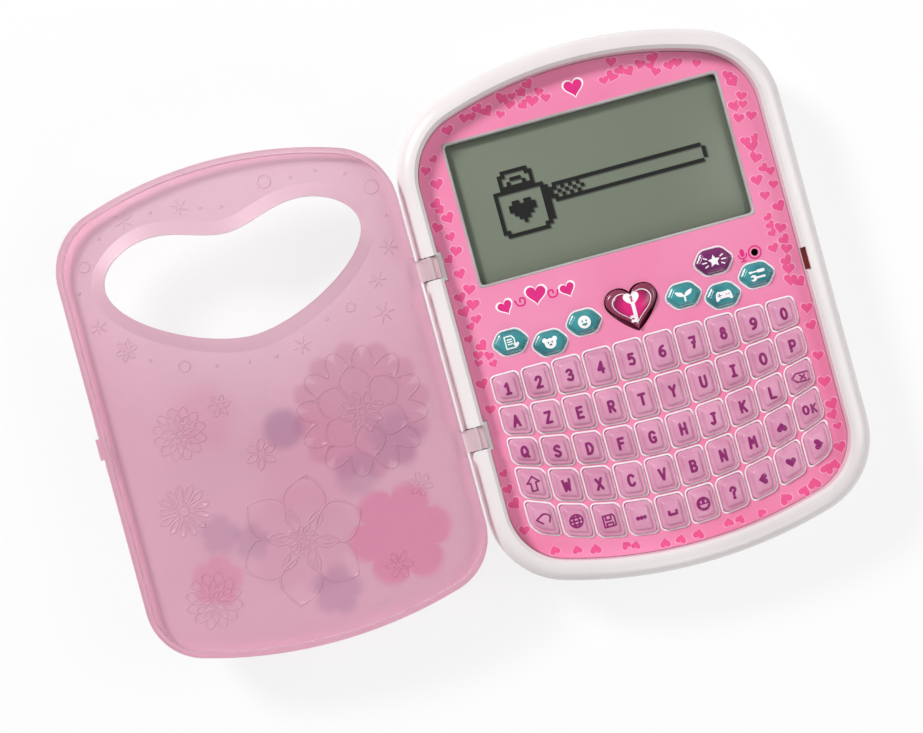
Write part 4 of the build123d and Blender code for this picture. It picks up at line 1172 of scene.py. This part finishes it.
class DIARY_OT_buttons(bpy.types.Operator):
    """Teal, plum and heart buttons with their plain pictures"""

    bl_idname = "diary.buttons"
    bl_label = "Buttons"

    # How far in from a button's outline, and how high over its flat top, each ring of its sides lies in
    # millimetres. The heart button's rim, white line and face have their own.
    steps = (
        (-0.05, -3.6), (-0.05, -1.3), (0.02, -1.08), (0.2, -0.92), (0.5, -0.82), (0.68, -0.74), (0.8, -0.4),
        (0.92, -0.18), (1.1, -0.08), (1.35, -0.04),
    )
    heart_steps = (
        (-0.05, -3.6), (-0.05, -1.3), (0.08, -0.9), (0.35, -0.5), (0.75, -0.34), (1.3, -0.24), (1.68, -0.26),
        (1.78, -0.6),
    )
    line_steps = ((1.7, -0.75), (1.7, -0.2), (1.75, -0.15), (1.95, -0.15), (2.0, -0.2), (2.0, -0.75))
    face_steps = ((1.98, -0.75), (1.98, -0.42), (2.12, -0.3), (2.5, -0.2))

    def execute(self, context):
        c, s = colours(), sizes()
        teal, plum = (
            finish_material(
                name, first, second, rough=0.25, spread=0.08, drift=150.0, grain=2200.0, depth=0.03, coat=0.4
            )
            for name, first, second in (
                ("button_teal", c.teal, c.teal_shade), ("button_plum", c.plum, c.plum_shade)
            )
        )
        white = ink("white_print", c.print_white)
        for name in BUTTONS:
            node, body = "button_" + name, "button_" + name + "_body"
            cut, finish, slot = 1.3 * MM, teal, "teal_button"
            if name == "star":
                cut, finish, slot = 2.4 * MM, plum, "purple_button"
            caps, prints = bmesh.new(), bmesh.new()
            loop = level_loops(node, BUTTON_TOP)[0]
            corners = spread_loop(loop, 0.75 * MM)
            add_cap(caps, corners, self.steps, BUTTON_TOP, s.button_dome, cut)
            self.flange(caps, corners)
            outlines, holes = (shapes_at(shapes, *middle_of(loop)) for shapes in getattr(self, name)())
            add_print(prints, outlines, BUTTON_TOP, BUTTON_TOP + PRINT_DEPTH, holes=holes, fine=FINE_MESH)
            drape(prints, caps, PRINT_LIFT)
            cap = to_object(node + "_cap", caps, body, [finish], smooth=50)
            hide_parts(node)
            to_object(node + "_picture", prints, body, [white])
        self.heart(c, white)
        return {"FINISHED"}

    def flange(self, mesh, corners):
        """The hidden foot that keeps a button under the panel."""
        left, low, right, high = box_of(corners)
        foot = rectangle(left + 2.2 * MM, low - 0.65 * MM, right - 2.2 * MM, high + 0.65 * MM)
        add_slab(mesh, foot, FLANGE_LOW, FLANGE_HIGH)

    # The pictures on the buttons: the outlines and the holes of each, in millimetres.
    def note(self):
        """A page with three lines and a heart."""
        page = [(-1.6, -1.8), (1.2, -1.8), (1.2, 1.0), (0.5, 1.8), (-1.6, 1.8), (-1.6, -1.8)]
        shapes = stroke(page, 0.36)
        for row in (0.8, 0.1, -0.6):
            shapes += stroke([(-0.9, row), (0.4, row)], 0.34)
        return shapes + [heart_points(1.5, -1.2, 1.7)], []

    def pet(self):
        """A round pet's head with its ears, eyes and nose."""
        head = ring_points(0, -0.2, 1.75, 1.55, 26)
        ears = [ring_points(side * 1.5, 0.95, 0.75, 0.75, 16) for side in (-1, 1)]
        eyes = [ring_points(side * 0.6, 0.15, 0.25, 0.3, 12) for side in (-1, 1)]
        return [head, *ears], [*eyes, ring_points(0, -0.6, 0.42, 0.32, 12)]

    def face(self):
        """A smiling face."""
        eyes = [ring_points(side * 0.6, 0.35, 0.26, 0.34, 12) for side in (-1, 1)]
        mouth = ring_points(0, -0.35, 0.85, 0.75, 12, 180, 180)
        return [ring_points(0, 0, 1.9, 1.9, 30)], [*eyes, mouth]

    def sprout(self):
        """A sprout with two leaves."""
        leaf = round_path([(0.0, -0.4), (0.6, 0.75), (2.5, 1.35), (2.1, 0.2), (1.0, -0.35), (0.0, -0.4)])[:-1]
        shapes = stroke([(0, -1.7), (0, -0.3)], 0.55)
        return shapes + [leaf, [(-x, y) for x, y in leaf[::-1]]], []

    def game(self):
        """A game pad with its cross and two dots."""
        pad = [
            (-2.6, -1.3), (-2.0, -1.6), (-1.3, -0.9), (1.3, -0.9), (2.0, -1.6), (2.6, -1.3), (2.3, 0.7),
            (1.6, 1.4), (0.9, 1.15), (-0.9, 1.15), (-1.6, 1.4), (-2.3, 0.7),
        ]
        cross = [*stroke([(-1.75, 0.1), (-0.75, 0.1)], 0.28), *stroke([(-1.25, -0.4), (-1.25, 0.6)], 0.28)]
        dots = [ring_points(x, y, 0.2, 0.2, 10) for x, y in ((0.9, 0.1), (1.6, 0.1))]
        return [soften(pad, 0.5)], [*cross, *dots]

    def tools(self):
        """A screwdriver over a spanner."""
        driver = stroke([(-2.1, 0.95), (0.0, 0.95)], 0.4) + stroke([(0.5, 0.95), (2.0, 0.95)], 0.95)
        driver += stroke([(-2.1, 0.95), (-1.5, 0.95)], 0.62)
        wrench = stroke([(-0.6, -0.85), (2.0, -0.85)], 0.62) + [ring_points(-1.3, -0.85, 0.95, 0.95, 20)]
        return driver + wrench, [[(-2.6, -1.2), (-1.3, -1.15), (-1.3, -0.55), (-2.6, -0.5)]]

    def star(self):
        """A star with three rays at each side."""
        spokes = []
        for side in (-1, 1):
            for far, angle in ((3.2, 26), (3.5, 0), (3.2, -26)):
                way = math.radians(angle if side > 0 else 180 - angle)
                spokes += stroke([(r * math.cos(way), r * math.sin(way)) for r in (2.3, far)], 0.36)
        points = [
            (r * math.cos(turn), r * math.sin(turn))
            for r, turn in ((1.9 if i % 2 == 0 else 0.95, math.radians(90 + 36 * i)) for i in range(10))
        ]
        return [points, *spokes], []

    def heart(self, c, white):
        """The heart button: a dark rim, a thin white line, a magenta face and a white key."""
        rim = finish_material(
            "heart_rim", c.heart_rim, darker(c.heart_rim, 0.75), rough=0.25, drift=120.0, coat=0.4, depth=0.02
        )
        deep = darker(c.heart_face, 0.36)
        face = finish_material("heart_face", deep, deep, rough=0.25, drift=90.0, coat=0.3, depth=0.02)
        body = "button_heart_body"
        loop = max(level_loops("button_heart", BUTTON_TOP), key=area_of)
        x, y = middle_of(loop)
        wide, high = (span + 1.5 * MM for span in spans_of(loop))
        corners = heart_points(count=72)
        shift, tall = middle_of(corners)[1], spans_of(corners)[1]
        corners = [(x + px * wide, y + (py - shift) * high / tall) for px, py in corners]
        for _ in range(5):
            corners = [
                ((a[0] + 2 * b[0] + d[0]) / 4, (a[1] + 2 * b[1] + d[1]) / 4)
                for a, b, d in zip(corners[-1:] + corners[:-1], corners, corners[1:] + corners[:1])
            ]
        stained(face, [((x / MM, y / MM + 0.4), 5.0, 0, 1.0, 1.7, c.heart_face)])
        caps = bmesh.new()
        add_cap(caps, corners, self.heart_steps, BUTTON_TOP, 0.0, 0)
        self.flange(caps, corners)
        cap = to_object("button_heart_cap", caps, body, [rim], smooth=50)
        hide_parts("button_heart")
        inner, line, key = bmesh.new(), bmesh.new(), bmesh.new()
        add_cap(inner, corners, self.face_steps, BUTTON_TOP, 0.6 * MM, 0)
        add_rings(line, [
            [(px, py, BUTTON_TOP + rise * MM) for px, py in shrunk(corners, inset * MM)]
            for inset, rise in self.line_steps
        ], closed=True)
        shaft = stroke([(0, 1.6), (0, -3.9)], 1.1) + stroke([(0, -3.8), (-1.3, -3.8)], 0.8)
        shaft += stroke([(0, -2.5), (-1.3, -2.5)], 0.8)
        hole = [ring_points(0, 3.1, 0.45, 0.45, 14), [(-0.28, 3.0), (-0.4, 1.8), (0.4, 1.8), (0.28, 3.0)]]
        add_print(
            key, shapes_at([heart_points(0, 2.5, 4.8), *shaft], x, y), BUTTON_TOP, BUTTON_TOP + PRINT_DEPTH,
            holes=shapes_at(hole, x, y), fine=FINE_MESH,
        )
        drape(key, inner, 0.06 * MM)
        to_object("heart_button_face", inner, body, [face], smooth=50)
        to_object("heart_button_line", line, body, [white], smooth=40)
        to_object("heart_button_key", key, body, [white])


# ---- the lid ----
# The lines' places and sizes are given in millimetres, and the paths come back in metres.
def petal(x, y, turn, near, far, wide, sharp):
    """One petal's outline from its foot over the tip and back, with a pointed or a round tip."""
    cos, sin = math.cos(math.radians(turn)), math.sin(math.radians(turn))
    steps = max(6, int((far - near) / 0.9))
    rise = [i / steps for i in range(steps + 1)]
    lean, fullness = (1.1, 0.9) if sharp else (1.7, 0.55)
    side = [wide / 2 * math.sin(math.pi * t**lean) ** fullness for t in rise]
    side[-1] = 0.0
    along = [near + (far - near) * t for t in rise]
    there = list(zip(along, side))
    back = [(a, -b) for a, b in there[:-1][::-1]]
    return [((x + (a * cos - b * sin)) * MM, (y + (a * sin + b * cos)) * MM) for a, b in there + back]


def flower(x, y, petals, near, far, wide, start=0.0, sharp=True):
    """Petals all round a middle."""
    return [petal(x, y, start + 360 * i / petals, near, far, wide, sharp) for i in range(petals)]


def ring(x, y, radius, count=20):
    """A round line."""
    points = ring_points(x * MM, y * MM, radius * MM, radius * MM, count)
    return [points + points[:1]]


def lobed(x, y, lobes, near, far, start=0.0, power=0.6):
    """One closed line that runs in and out round a middle, a lobe at a time."""
    count = lobes * 14
    made = []
    for i in range(count):
        turn = 2 * math.pi * (i + 0.5) / count
        radius = near + (far - near) * abs(math.cos(lobes * turn / 2)) ** power
        way = turn + math.radians(start)
        made.append(((x + radius * math.cos(way)) * MM, (y + radius * math.sin(way)) * MM))
    return [made + made[:1]]


def relief_paths():
    """The lines moulded on the open lid: flowers, small blossoms, rings and dots."""
    x, y = -85.6, -9.6
    paths = lobed(x, y, 12, 12.6, 19.4, 15, 0.75) + flower(x, y, 6, 3.2, 14.0, 9.2, 30)
    paths += flower(x, y, 8, 2.0, 6.6, 2.4, 10) + ring(x, y, 1.1, 14)
    x, y = -112.4, -41.9
    paths += flower(x, y, 6, 3.6, 19.4, 12.4, 13) + flower(x, y, 6, 3.0, 10.5, 3.6, 43)
    paths += flower(x, y, 8, 1.6, 4.6, 1.7, 0) + ring(x, y, 0.9, 14)
    for x, y, size in ((-139.4, -2.0, 8.0), (-142.3, -52.2, 8.4)):
        paths += lobed(x, y, 12, size * 0.7, size, 6, 0.9)
        paths += flower(x, y, 12, size * 0.36, size * 0.74, size * 0.22, 21)
        paths += flower(x, y, 6, size * 0.1, size * 0.36, size * 0.18, 0, False)
    paths += flower(-144.1, -24.3, 13, 2.4, 8.0, 1.8, 4, False) + ring(-144.1, -24.3, 1.6, 16)
    blossoms = (
        (-125.9, 3.0, 3.5), (-117.7, -14.0, 4.8), (-74.7, -34.9, 3.8), (-86.9, -56.2, 4.4),
        (-148.1, 25.8, 3.4), (-71.6, 16.6, 3.0), (-138.8, 62.9, 2.6), (-122.1, 62.5, 2.4),
        (-65.3, 35.1, 2.6), (-71.0, 26.4, 2.4), (-97.4, 13.6, 2.6), (-154.2, 34.3, 2.4),
    )
    for index, (x, y, size) in enumerate(blossoms):
        if size > 3.2:
            paths += flower(x, y, 6, size * 0.18, size, size * 0.42, 17 * index)
        else:
            for arm in range(6):
                turn = math.radians(60 * arm + 13 * index)
                arms = [((x + r * math.cos(turn)) * MM, (y + r * math.sin(turn)) * MM) for r in (0.5, size)]
                paths.append(arms)
    for x, y, radius in (
        (-153.6, 52.8, 1.6), (-95.8, 63.3, 1.9), (-65.7, 53.6, 2.1), (-132.7, 16.8, 1.7), (-80.8, 20.9, 1.4),
    ):
        paths += ring(x, y, radius, 16)
    for x, y in (
        (-147.3, 59.8), (-130.7, 63.3), (-116.0, 60.7), (-110.0, 59.5), (-88.0, 62.5), (-80.4, 62.5),
        (-72.2, 59.5), (-63.7, 44.4), (-157.2, 45.6), (-142.0, 21.1), (-123.6, 14.4), (-114.0, 13.0),
        (-105.7, 12.6), (-88.3, 19.3),
    ):
        paths += ring(x, y, 0.35, 8)
    return paths


def beside(path, distance):
    """An open line moved to its left by a distance."""
    made = []
    for index, here in enumerate(path):
        before, after = path[max(index - 1, 0)], path[min(index + 1, len(path) - 1)]
        way = Vector((after[0] - before[0], after[1] - before[1]))
        if way.length < 1e-9:
            continue
        way.normalize()
        made.append((here[0] - way.y * distance, here[1] + way.x * distance))
    return made


def rim_edges(mesh, faces):
    """The edges at the border of a set of faces, in the mesh's own order so that each run is the same."""
    chosen = set(faces)
    return [edge for edge in mesh.edges if sum(face in chosen for face in edge.link_faces) == 1]


def flat_levels(mesh):
    """The heights of the largest flat areas that look up and down, with 1 and -1 for their sides."""
    areas = {}
    for face in mesh.faces:
        if abs(face.normal.z) > FLAT:
            key = (round(face.calc_center_median().z / LEVEL_SLACK), 1 if face.normal.z > 0 else -1)
            areas[key] = areas.get(key, 0) + face.calc_area()
    tops = [max((key for key in areas if key[1] == side), key=areas.get) for side in (1, -1)]
    return [(level * LEVEL_SLACK, side) for level, side in tops]


def flat_spots(points, edges, lines, paths, width):
    """Adds points and edges to those of a flat face's border: its lines, their ends and a grid between."""
    grid = 1.6 * MM
    for line in lines:
        first = len(points)
        points.extend(Vector(point) for point in line)
        edges.extend((first + i, first + i + 1) for i in range(len(line) - 1))
    for path in paths:
        for end in (path[0], path[-1]):
            points.extend(Vector(spot) for spot in ring_points(*end, width, width, 8))
    left, right = np.array(points).min(0), np.array(points).max(0)
    xs, ys = np.meshgrid(np.arange(left[0], right[0], grid), np.arange(left[1], right[1], grid))
    ground = np.column_stack((xs.ravel(), ys.ravel()))
    points.extend(Vector(spot) for spot in ground[near_lines(ground, paths) > width * 1.1])


def mould(mesh, z, side, paths, lines, height, width, kind):
    """Meshes a lid's flat face at a height anew, with the lines raised on it."""
    flat = [
        face for face in mesh.faces
        if face.normal.z * side > FLAT and abs(face.calc_center_median().z - z) < LEVEL_SLACK
    ]
    z = flat[0].verts[0].co.z
    rim = rim_edges(mesh, flat)
    verts = sorted({vert for edge in rim for vert in edge.verts}, key=lambda vert: vert.index)
    number = {vert: index for index, vert in enumerate(verts)}
    points = [vert.co.xy.copy() for vert in verts]
    edges = [(number[edge.verts[0]], number[edge.verts[1]]) for edge in rim]
    borders = [(points[a], points[b]) for a, b in edges]
    flat_spots(points, edges, lines, paths, width)
    spots, _, triangles, *_ = delaunay_2d_cdt(points, edges, [], 0, 1e-7, False)
    flats = np.array([tuple(spot) for spot in spots])
    middles = flats[np.array(triangles)].mean(1)
    keep = enclosed(borders, middles[:, 0], middles[:, 1])
    away = near_lines(flats, paths)
    lift = height * np.clip(1 - (away / width) ** 2, 0, 1)
    lift[away > width * 0.97] = 0
    fixed = {tuple(round(value * 1e6) for value in vert.co.xy) for vert in verts}
    bmesh.ops.delete(mesh, geom=flat, context="FACES_ONLY")
    made = []
    for (x, y), up in zip(flats, lift):
        held = (round(x * 1e6), round(y * 1e6)) in fixed
        made.append(mesh.verts.new((x, y, z + side * (0 if held else up))))
    for (a, b, d), kept in zip(triangles, keep):
        if kept:
            order = (a, b, d) if side > 0 else (a, d, b)
            face = mesh.faces.new([made[i] for i in order])
            face[kind] = 2 if max(lift[a], lift[b], lift[d]) > 0 else 1
    bmesh.ops.remove_doubles(mesh, verts=mesh.verts, dist=JOIN_DISTANCE)


def moulded_lid(height, width):
    """The frame's lid with flowers raised on its two flat faces."""
    mesh = merged("lid_shell")
    kind = mesh.faces.layers.int.new("moulded")  # 0 for an old face, 1 for a new flat one, 2 for a raised one
    paths = relief_paths()
    shares = (-1.0, -0.55, 0.0, 0.55, 1.0)  # of the half width, where a raised line's section has its corners
    lines = [beside(path, share * width) for path in paths for share in shares]
    lines = [line for line in lines if len(line) > 1]
    for z, side in flat_levels(mesh):
        mould(mesh, z, side, paths, lines, height, width, kind)
    loose = [vert for vert in mesh.verts if not vert.link_faces]
    bmesh.ops.delete(mesh, geom=loose, context="VERTS")
    wall_tilt, crease = 0.45, math.radians(13)
    for face in mesh.faces:
        face.smooth = True
        wall, arm = abs(face.normal.z) < wall_tilt, face.calc_center_median().x > ARM_START
        face.material_index = 1 if arm else 2 * wall
    for edge in mesh.edges:
        kinds = {face[kind] for face in edge.link_faces}
        gentle = edge.calc_face_angle(4) < crease
        edge.smooth = kinds == {2} or (len(kinds) == 1 and gentle)
    return mesh


def lid_material(c):
    """Frosted pink plastic with soft pink and violet flowers printed under it, and a wide painted pool of
    light that makes its upper part paler.
    """
    made = finish_material(
        "lid_frosted", c.lid, darker(c.lid, 0.95), rough=0.38, spread=0.08, drift=22.0, grain=1700.0,
        depth=0.55, transmission=0.55, ior=1.45, specular=0.45,
    )
    # The first bloom is painted light, a wide pale patch over the lid's upper part; the others are printed
    # flowers.
    blooms = (
        ((-110.0, 58.0), 62.0, 0, 0.55, 1.6, c.lid_painted_light), ((-85.6, -9.6), 19.8, 12, 0.36, 9.0, c.lid_dusk),
        ((-112.4, -41.9), 16.5, 5, 0.14, 5.0, c.lid_dusk), ((-84.0, -47.7), 15.0, 6, 0.5, 6.0, c.lid_bloom),
        ((-139.8, -47.0), 8.0, 5, 0.34, 3.5, c.lid_bloom), ((-131.0, 1.0), 11.0, 5, 0.16, 2.2, c.lid_bloom),
        ((-104.0, -20.0), 20.0, 5, 0.12, 2.2, c.lid_bloom), ((-109.3, -8.7), 6.4, 0, 0.42, 2.6, c.lid_violet),
        ((-78.0, -20.5), 9.0, 5, 0.26, 3.0, c.lid_violet), ((-135.7, -34.0), 6.5, 5, 0.26, 2.6, c.lid_violet),
        ((-127.0, -38.5), 6.0, 5, 0.26, 2.6, c.lid_violet), ((-106.4, -58.8), 8.0, 5, 0.3, 2.8, c.lid_violet),
        ((-92.0, -27.0), 7.0, 0, 0.24, 2.4, c.lid_violet),
    )
    return stained(made, blooms)


class DIARY_OT_lid(bpy.types.Operator):
    """Frosted lid with moulded flowers, and its hinge pins"""

    bl_idname = "diary.lid"
    bl_label = "Lid"

    def execute(self, context):
        c, s = colours(), sizes()
        mesh = moulded_lid(s.relief_height, s.relief_width)
        # The lid's walls take a paler pink than its faces: partly the clearer plastic of its edges, partly
        # painted light that lifts the shade on walls turned from the lamps.
        edge = finish_material(
            "lid_wall_clear_and_painted_light", linear(252, 222, 232), linear(246, 212, 224), rough=0.3, drift=60.0, depth=0.03,
            transmission=0.6, ior=1.45,
        )
        self.let_light_through(edge)
        clear = finish_material(
            "lid_arm_clear", linear(246, 220, 226), linear(238, 206, 214), rough=0.18, drift=60.0, depth=0.02,
            transmission=0.35, ior=1.45, specular=0.6,
        )
        lid = to_object("lid_moulded", mesh, "lid", [lid_material(c), clear, edge])
        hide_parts("lid_shell")
        steel = finish_material(
            "pin_steel", linear(196, 196, 200), linear(176, 176, 182), rough=0.28, metal=1.0, grain=4000.0,
            depth=0.02,
        )
        dress("hinge_pins", steel)
        return {"FINISHED"}

    def let_light_through(self, material):
        """Clear plastic throws only a faint pink shadow."""
        tree = material.node_tree
        path, share, clear, mix = new_nodes(
            tree, "ShaderNodeLightPath", "ShaderNodeMath", "ShaderNodeBsdfTransparent", "ShaderNodeMixShader"
        )
        share.operation = "MULTIPLY"
        set_inputs(share, {1: 0.7})
        set_inputs(clear, {"Color": linear(248, 220, 230)})
        wire(
            tree, (path, "Is Shadow Ray", share, 0), (share, 0, mix, "Fac"),
            (tree.nodes["Principled BSDF"], "BSDF", mix, 1), (clear, "BSDF", mix, 2),
            (mix, "Shader", tree.nodes["Material Output"], "Surface"),
        )


class DIARY_OT_inside(bpy.types.Operator):
    """Finishes of the mat, board, batteries, speaker, catch and screws"""

    bl_idname = "diary.inside"
    bl_label = "Inside"

    def execute(self, context):
        for name, first, second, look, members in (
            ("zinc_steel", (178, 178, 176), (150, 152, 154), {"rough": 0.35, "metal": 1.0, "grain": 3500.0},
             ("board_screws", "case_screws", "door_screw")),
            ("nickel_plate", (206, 200, 188), (182, 176, 164), {"rough": 0.3, "metal": 1.0, "grain": 3000.0},
             ("battery_contacts",)),
            ("catch_red", (116, 30, 26), (96, 20, 18), {"rough": 0.35, "drift": 200.0}, ("lock_catch",)),
            ("wire_red", (186, 40, 38), (150, 28, 28), {"rough": 0.4, "drift": 300.0},
             ("speaker_leads", "lock_leads")),
            ("bright_steel", (210, 210, 212), (190, 190, 194), {"rough": 0.2, "metal": 1.0},
             ("lock_plunger", "catch_spring")),
            ("solenoid_paint", (70, 74, 80), (52, 54, 60), {"rough": 0.45, "depth": 0.1}, ("lock_solenoid",)),
            ("mat_rubber", (226, 222, 214), (206, 202, 194), {"rough": 0.7, "depth": 0.15}, ("keypad_mat",)),
            ("board_laminate", (36, 98, 62), (24, 76, 46), {"rough": 0.45, "drift": 160.0, "depth": 0.1},
             ("main_board",)),
            ("chip_black", (34, 34, 36), (22, 22, 24), {"rough": 0.6, "depth": 0.15}, ("board_components",)),
            ("speaker_paper", (30, 30, 32), (18, 18, 20), {"rough": 0.8, "depth": 0.3}, ("speaker",)),
            ("cell_label", (64, 82, 120), (48, 62, 96), {"rough": 0.35, "coat": 0.3}, ("battery_cells",)),
            ("mic_cloth", (20, 18, 20), (10, 10, 12), {"rough": 0.9, "depth": 0.3}, ("microphone",)),
            ("frame_grey", (92, 94, 96), (76, 78, 80), {"rough": 0.5}, ("lcd_frame",)),
            ("ribbon_amber", (190, 132, 60), (164, 108, 44), {"rough": 0.3, "coat": 0.3}, ("lcd_ribbon",)),
        ):
            material = finish_material(name, linear(*first), linear(*second), **look)
            for node in members:
                dress(node, material)
        return {"FINISHED"}


class DIARY_OT_stage(bpy.types.Operator):
    """Pale floor, soft lamps and the camera over the open diary"""

    bl_idname = "diary.stage"
    bl_label = "Stage"

    def execute(self, context):
        scene = context.scene
        scene.view_settings.view_transform = "Standard"
        self.floor()
        self.world(scene)
        aim = Vector((-0.05, 0, 0))
        # Name, place, size in metres and power in watts of each lamp.
        for name, spot, size, power in (
            ("lamp_left", (-1.0, 1.15, 1.25), 0.5, 29.0), ("lamp_right", (0.95, 0.0, 1.0), 0.9, 6.0),
            ("lamp_low", (0.2, -1.2, 0.8), 0.8, 4.0),
        ):
            lamp = bpy.data.lights.new(name, "AREA")
            lamp.shape = "DISK"
            lamp.size = size
            lamp.energy = power
            holder = linked(name, lamp)
            holder.location = spot
            holder.rotation_euler = (aim - Vector(spot)).to_track_quat("-Z", "Y").to_euler()
        self.camera(scene)
        return {"FINISHED"}

    def pale(self, tree):
        """A tree's surface mixed with plain white, where the camera, mirrors and clear plastic see it."""
        path, either, more, share = new_nodes(tree, "ShaderNodeLightPath", *["ShaderNodeMath"] * 3)
        glow, mix = new_nodes(tree, "ShaderNodeEmission", "ShaderNodeMixShader")
        either.operation = more.operation = "MAXIMUM"
        share.operation = "MULTIPLY"
        set_inputs(share, {1: 0.8})
        set_inputs(glow, {"Strength": 1.0})
        wire(
            tree, (path, "Is Camera Ray", either, 0), (path, "Is Glossy Ray", either, 1),
            (either, 0, more, 0), (path, "Is Transmission Ray", more, 1), (more, 0, share, 0),
            (share, 0, mix, "Fac"),
            (tree.nodes["Principled BSDF"], "BSDF", mix, 1), (glow, "Emission", mix, 2),
        )
        return mix

    def floor(self):
        """A pale floor just under the diary, clear when it is seen from below."""
        mesh = bmesh.new()
        bmesh.ops.create_grid(mesh, x_segments=1, y_segments=1, size=4.0)
        bmesh.ops.translate(mesh, verts=mesh.verts, vec=(0, 0, -0.15 * MM))
        material = bpy.data.materials.new("floor_pale")
        material.use_nodes = True
        tree = material.node_tree
        set_inputs(tree.nodes["Principled BSDF"], {"Base Color": (0.9, 0.9, 0.9, 1), "Roughness": 0.8})
        side, clear, mix = new_nodes(
            tree, "ShaderNodeNewGeometry", "ShaderNodeBsdfTransparent", "ShaderNodeMixShader"
        )
        wire(
            tree, (side, "Backfacing", mix, "Fac"), (self.pale(tree), "Shader", mix, 1),
            (clear, "BSDF", mix, 2), (mix, "Shader", tree.nodes["Material Output"], "Surface"),
        )
        placed("floor", mesh, [material])

    def world(self, scene):
        """Even white light from all round."""
        world = bpy.data.worlds.new("studio")
        world.use_nodes = True
        set_inputs(world.node_tree.nodes["Background"], {"Color": (1, 1, 1, 1), "Strength": 0.25})
        scene.world = world

    def camera(self, scene):
        """The camera straight over the open diary, turned as it lies in the picture."""
        data = bpy.data.cameras.new("camera")
        data.sensor_width = 36.0
        data.lens = 71.7
        data.clip_start = 0.01
        holder = linked("camera", data)
        holder.location = (-0.05375, -0.00475, 0.566)
        holder.rotation_euler = Euler((0, 0, math.radians(-15.2)))
        scene.camera = holder


class DIARY_PT_panel(bpy.types.Panel):
    """Lists the diary's settings and its building steps"""

    bl_idname = "DIARY_PT_panel"
    bl_label = "Pocket diary"
    bl_space_type = "VIEW_3D"
    bl_region_type = "UI"
    bl_category = "Diary"

    def draw(self, context):
        layout = self.layout
        for group in (context.scene.diary_sizes, context.scene.diary_colours):
            box = layout.box()
            for name in group.bl_rna.properties.keys():
                if name not in ("rna_type", "name"):
                    box.prop(group, name)
        for step in STEPS:
            layout.operator(step.bl_idname)


STEPS = (
    DIARY_OT_shells, DIARY_OT_panel, DIARY_OT_screen, DIARY_OT_keys, DIARY_OT_buttons, DIARY_OT_lid,
    DIARY_OT_inside, DIARY_OT_stage,
)
CLASSES = (DiaryColours, DiarySizes, *STEPS, DIARY_PT_panel)


def register():
    """Adds the diary's settings, steps and panel to the program."""
    for item in CLASSES:
        bpy.utils.register_class(item)
    bpy.types.Scene.diary_colours = PointerProperty(type=DiaryColours)
    bpy.types.Scene.diary_sizes = PointerProperty(type=DiarySizes)


def unregister():
    """Takes them out again."""
    del bpy.types.Scene.diary_sizes
    del bpy.types.Scene.diary_colours
    for item in reversed(CLASSES):
        bpy.utils.unregister_class(item)


def main():
    """Builds the whole diary."""
    register()
    for step in STEPS:
        prefix, name = step.bl_idname.split(".")
        getattr(getattr(bpy.ops, prefix), name)()


if __name__ == "__main__":
    main()
